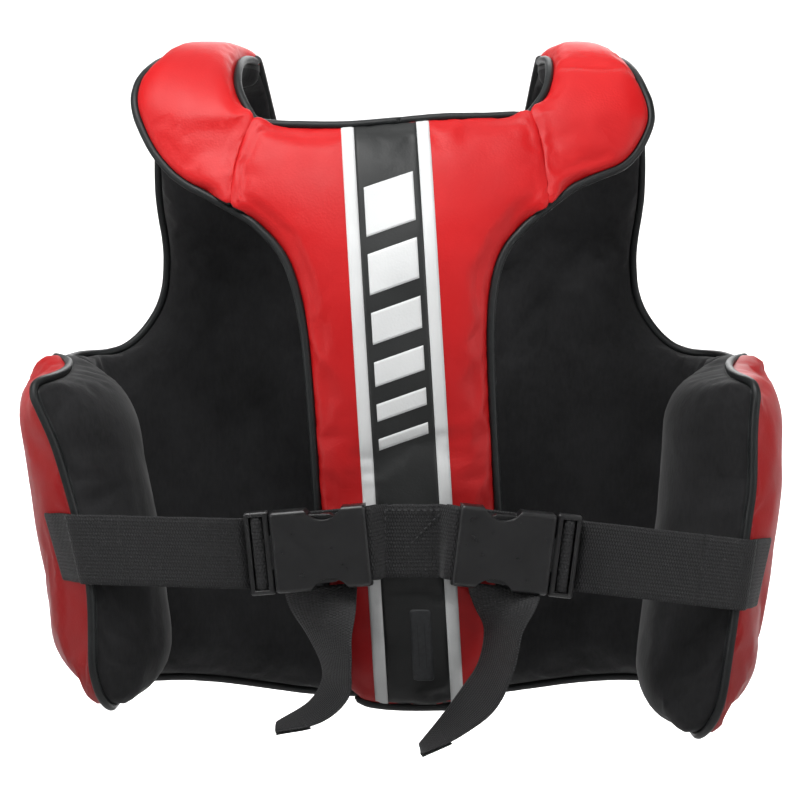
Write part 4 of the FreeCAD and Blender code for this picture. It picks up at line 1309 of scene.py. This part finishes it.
def strap_stations(side, wing):
    """From the plug's inner slit over its bar to the join, and from there onto the wing's outer face."""
    sign = SIDES[side]
    loop = [(SLIT_INNER, 0.2), (SLIT_INNER + 0.6, 2.6), (SLIT_INNER + 1.9, 3.4), (SLIT_OUTER - 1.9, 3.4)]
    loop += [(SLIT_OUTER - 0.6, 2.6), (SLIT_OUTER, 0), (SLIT_OUTER + 0.2, -3), (SLIT_OUTER + 2.2, -5.4)]
    loop += [(SLIT_OUTER + 6, -6.1), (SLIT_OUTER + 12, -6.3)]
    across = buckle_across(side)
    inner = [(at_buckle(side, u, 0, w), across) for u, w in loop]
    leave = inner[-1][0]
    tree = wing.tree()
    end_z = STRAP_END_Z[side]
    outer = []
    for y in (-106.0, -100.0, -92.0, -83.0, -74.0):
        heights = (-23.0, -15.0, -8.0, 0.0, 8.0, 15.0, 23.0)
        faces = [sign * wing_surface(tree, side, y, end_z + dz).x for dz in heights]
        slope = (faces[-1] - faces[0]) / (heights[-1] - heights[0])
        proud = max(x - slope * dz for x, dz in zip(faces, heights))
        spot = Vector((sign * (proud + WEB / 2 + 0.3), y, end_z))
        outer.append((spot, Vector((sign * slope, 0, 1)).normalized()))
    rear = flank_half(end_z) - WING_REAR_INSET + wing_shift(side, WING_REAR_Y, end_z)
    bend = [(-22, -8.6), (-8, -8.8), (0.5, -6.6), (4.5, -2.0)]
    middle = []
    for out, behind in bend:
        x, y = rear + out, WING_REAR_Y + behind
        share = min(1.0, (x - abs(leave.x)) / (rear - abs(leave.x)))
        z = leave.z + (end_z - leave.z) * share
        middle.append((Vector((sign * x, y, z)), across.lerp(outer[0][1], share).normalized()))
    gap = middle[0][0] - leave
    join = (leave + gap * JOIN_SHARE, across.lerp(middle[0][1], JOIN_SHARE).normalized())
    return inner + [join], [join] + middle + outer


TAILS = {
    "left": [
        ((-55, -126.5, -359.0), (1.0, 0.05, 0.09)),
        ((-54, -127.5, -372), (0.94, -0.32, 0.06)),
        ((-50, -130, -392), (0.66, -0.75, 0.02)),
        ((-45, -132, -414), (0.44, -0.90, 0.0)),
        ((-46, -132, -431), (0.40, -0.90, -0.14)),
        ((-60, -131, -446), (0.20, -0.95, -0.19)),
        ((-86, -130, -456), (0.01, -0.99, -0.05)),
    ],
    "right": [
        ((72, -129.5, -359.0), (1.0, 0.05, -0.11)),
        ((73, -132, -373), (0.85, -0.52, 0.0)),
        ((72, -136, -389), (0.52, -0.85, 0.0)),
        ((67, -138, -414), (0.47, -0.88, -0.06)),
        ((55, -138, -436), (0.42, -0.87, -0.26)),
        ((36, -137, -455), (0.22, -0.95, -0.23)),
        ((14, -136, -472), (0.02, -0.99, -0.04)),
    ],
}
TIP_FOLD = 20.0  # how far each loose end is turned back on itself
TAIL_CUP = 1.2  # how far a tail curls across its width


def turned_end(side, stations, cup):
    """The end of the loose webbing, folded back and sewn down."""
    rough = smooth_path([Vector((*c, *a)) for c, a in stations], 2.5)
    kept, walked = [rough[-1]], 0.0
    for spot in reversed(rough[:-1]):
        walked += (Vector(kept[-1][:3]) - Vector(spot[:3])).length
        kept.append(spot)
        if walked > TIP_FOLD:
            break
    kept.reverse()
    run = (Vector(kept[-1][:3]) - Vector(kept[0][:3])).normalized()
    fold, seam = [], []
    for spot in kept:
        across = Vector(spot[3:]).normalized()
        normal = run.cross(across).normalized()
        fold.append((Vector(spot[:3]) - normal * (WEB + 0.15), across))
    middle, across = Vector(kept[1][:3]), Vector(kept[1][3:]).normalized()
    normal = run.cross(across).normalized()
    for share in (-0.9, -0.3, 0.3, 0.9):
        lift = cup * (share * share - 0.4) + WEB / 2 + 0.2
        seam.append((middle + across * (share * WEB_WIDTH / 2) + normal * lift, normal))
    return ribbon(f"tail_{side}_fold", fold, cup=cup), stitches(f"tail_{side}_stitches", [seam])


def make_webbing(pads):
    for side, sign in SIDES.items():
        inner, outer = strap_stations(side, pads[f"wing_{side}"])
        near = ribbon(f"strap_{side}_at_buckle", inner)
        far = ribbon(f"strap_{side}_on_wing", outer, start=LENGTHS[near.name])
        plug_end = at_buckle(side, SLIT_OUTER + 14, 0, -6) * MM
        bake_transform(near)
        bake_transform(far)
        path = [(SLIT_INNER, -0.6), (SLIT_INNER, -3), (SLIT_INNER - 1.85, -5.8), (SLIT_INNER - 6.4, -9.0)]
        path += [(SLIT_INNER - 12.4, RETURN_W), (SLIT_INNER - 35, RETURN_W), (RETURN_END_U, RETURN_W)]
        across = buckle_across(side)
        under = ribbon(f"strap_{side}_under_buckle", [(at_buckle(side, u, 0, w), across) for u, w in path])
        stations = [(Vector(c), Vector(a).normalized()) for c, a in TAILS[side]]
        tail = ribbon(f"tail_{side}_end", stations, cup=sign * TAIL_CUP)
        fold, sewn = turned_end(side, stations, sign * TAIL_CUP)
        finish(under, f"plug_{side}", "black_webbing", f"strap_{side}_return")
        finish(tail, f"tail_{side}", "black_webbing", f"tail_{side}")
        for piece in (fold, sewn):
            finish(piece, f"tail_{side}", "black_webbing")
        for piece in (near, far):
            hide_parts(f"strap_{side}")
    make_anchor(pads["back"])


ANCHOR_LIFT = 2.5  # the middle of the webbing rides a little above the two bars
INNER_LIFT, OUTER_LIFT, SEWN_LIFT = 1.2, 3.4, 4.4  # off the panel: the two layers and the stitches on them
SEWN_BOX = ((-19, 21), (21, 21), (21, -21), (-19, -21))  # from the middle of the webbing


def make_anchor(back):
    """Webbing sewn across the middle of the back, each end looped round a socket's bar."""
    tree = back.tree()

    def on_panel(x, lift, z=BUCKLE_Z + ANCHOR_LIFT):
        hit = tree.ray_cast(Vector((x, -300.0, z)), Vector((0, 1, 0)))[0]
        return hit + Vector((0, -lift, 0))

    upright = Vector((0, 0, 1))
    bar_u, bar_w, clear = -4.2, -3.0, 2.9
    stations = []
    for side in ("right", "left"):
        sign = SIDES[side]
        across = buckle_across(side)
        tip = [(bar_u + 1, bar_w + clear), (bar_u + 3.4, bar_w + 1.8), (bar_u + 4.1, bar_w)]
        tip += [(bar_u + 3.4, bar_w - 1.8), (bar_u + 1, bar_w - clear)]
        outer = [(on_panel(BUCKLE_X + sign * x, OUTER_LIFT), upright) for x in (4, 12, 19)]
        slope = at_buckle(side, bar_u - 6, 0, bar_w + clear - 1.4)
        outer.append((slope, across))
        inner = [(on_panel(BUCKLE_X + sign * x, INNER_LIFT), upright) for x in (22, 12, 2)]
        whole = outer + [(at_buckle(side, u, 0, w), across) for u, w in tip] + inner
        stations += whole[::-1] if side == "right" else whole
    piece = ribbon("anchor_loops", stations, width=WEB_WIDTH + 1.0)
    finish(piece, "vest", "black_webbing", "anchor_webbing")
    out = Vector((0, -1, 0))
    diagonal = (SEWN_BOX[3], SEWN_BOX[1])
    lines = []
    for (x0, z0), (x1, z1) in [*zip(SEWN_BOX, SEWN_BOX[1:] + SEWN_BOX[:1]), diagonal]:
        ends = []
        for k in range(4):
            x, z = x0 + (x1 - x0) * k / 3, z0 + (z1 - z0) * k / 3
            ends.append((on_panel(BUCKLE_X + x, SEWN_LIFT, BUCKLE_Z + ANCHOR_LIFT + z), out))
        lines.append(ends)
    sewn = stitches("anchor_stitches", lines, radius=0.55)
    finish(sewn, "vest", "black_webbing")


def finish_buckles():
    """The moulded pieces keep their drawn shape and take the plastic."""
    for name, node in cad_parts.items():
        if name.startswith("buckle_"):
            node.data.materials.clear()
            node.data.materials.append(MATERIALS["plastic"])


add_camera()
add_floor()
add_light()
all_pads = make_pads()
make_bands(all_pads)
make_piping(all_pads)
make_webbing(all_pads)
finish_buckles()

boxes = {"cad": CAD_BOX, "visual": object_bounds()}
{key: [[float(c) for c in corner] for corner in box] for key, box in boxes.items()}
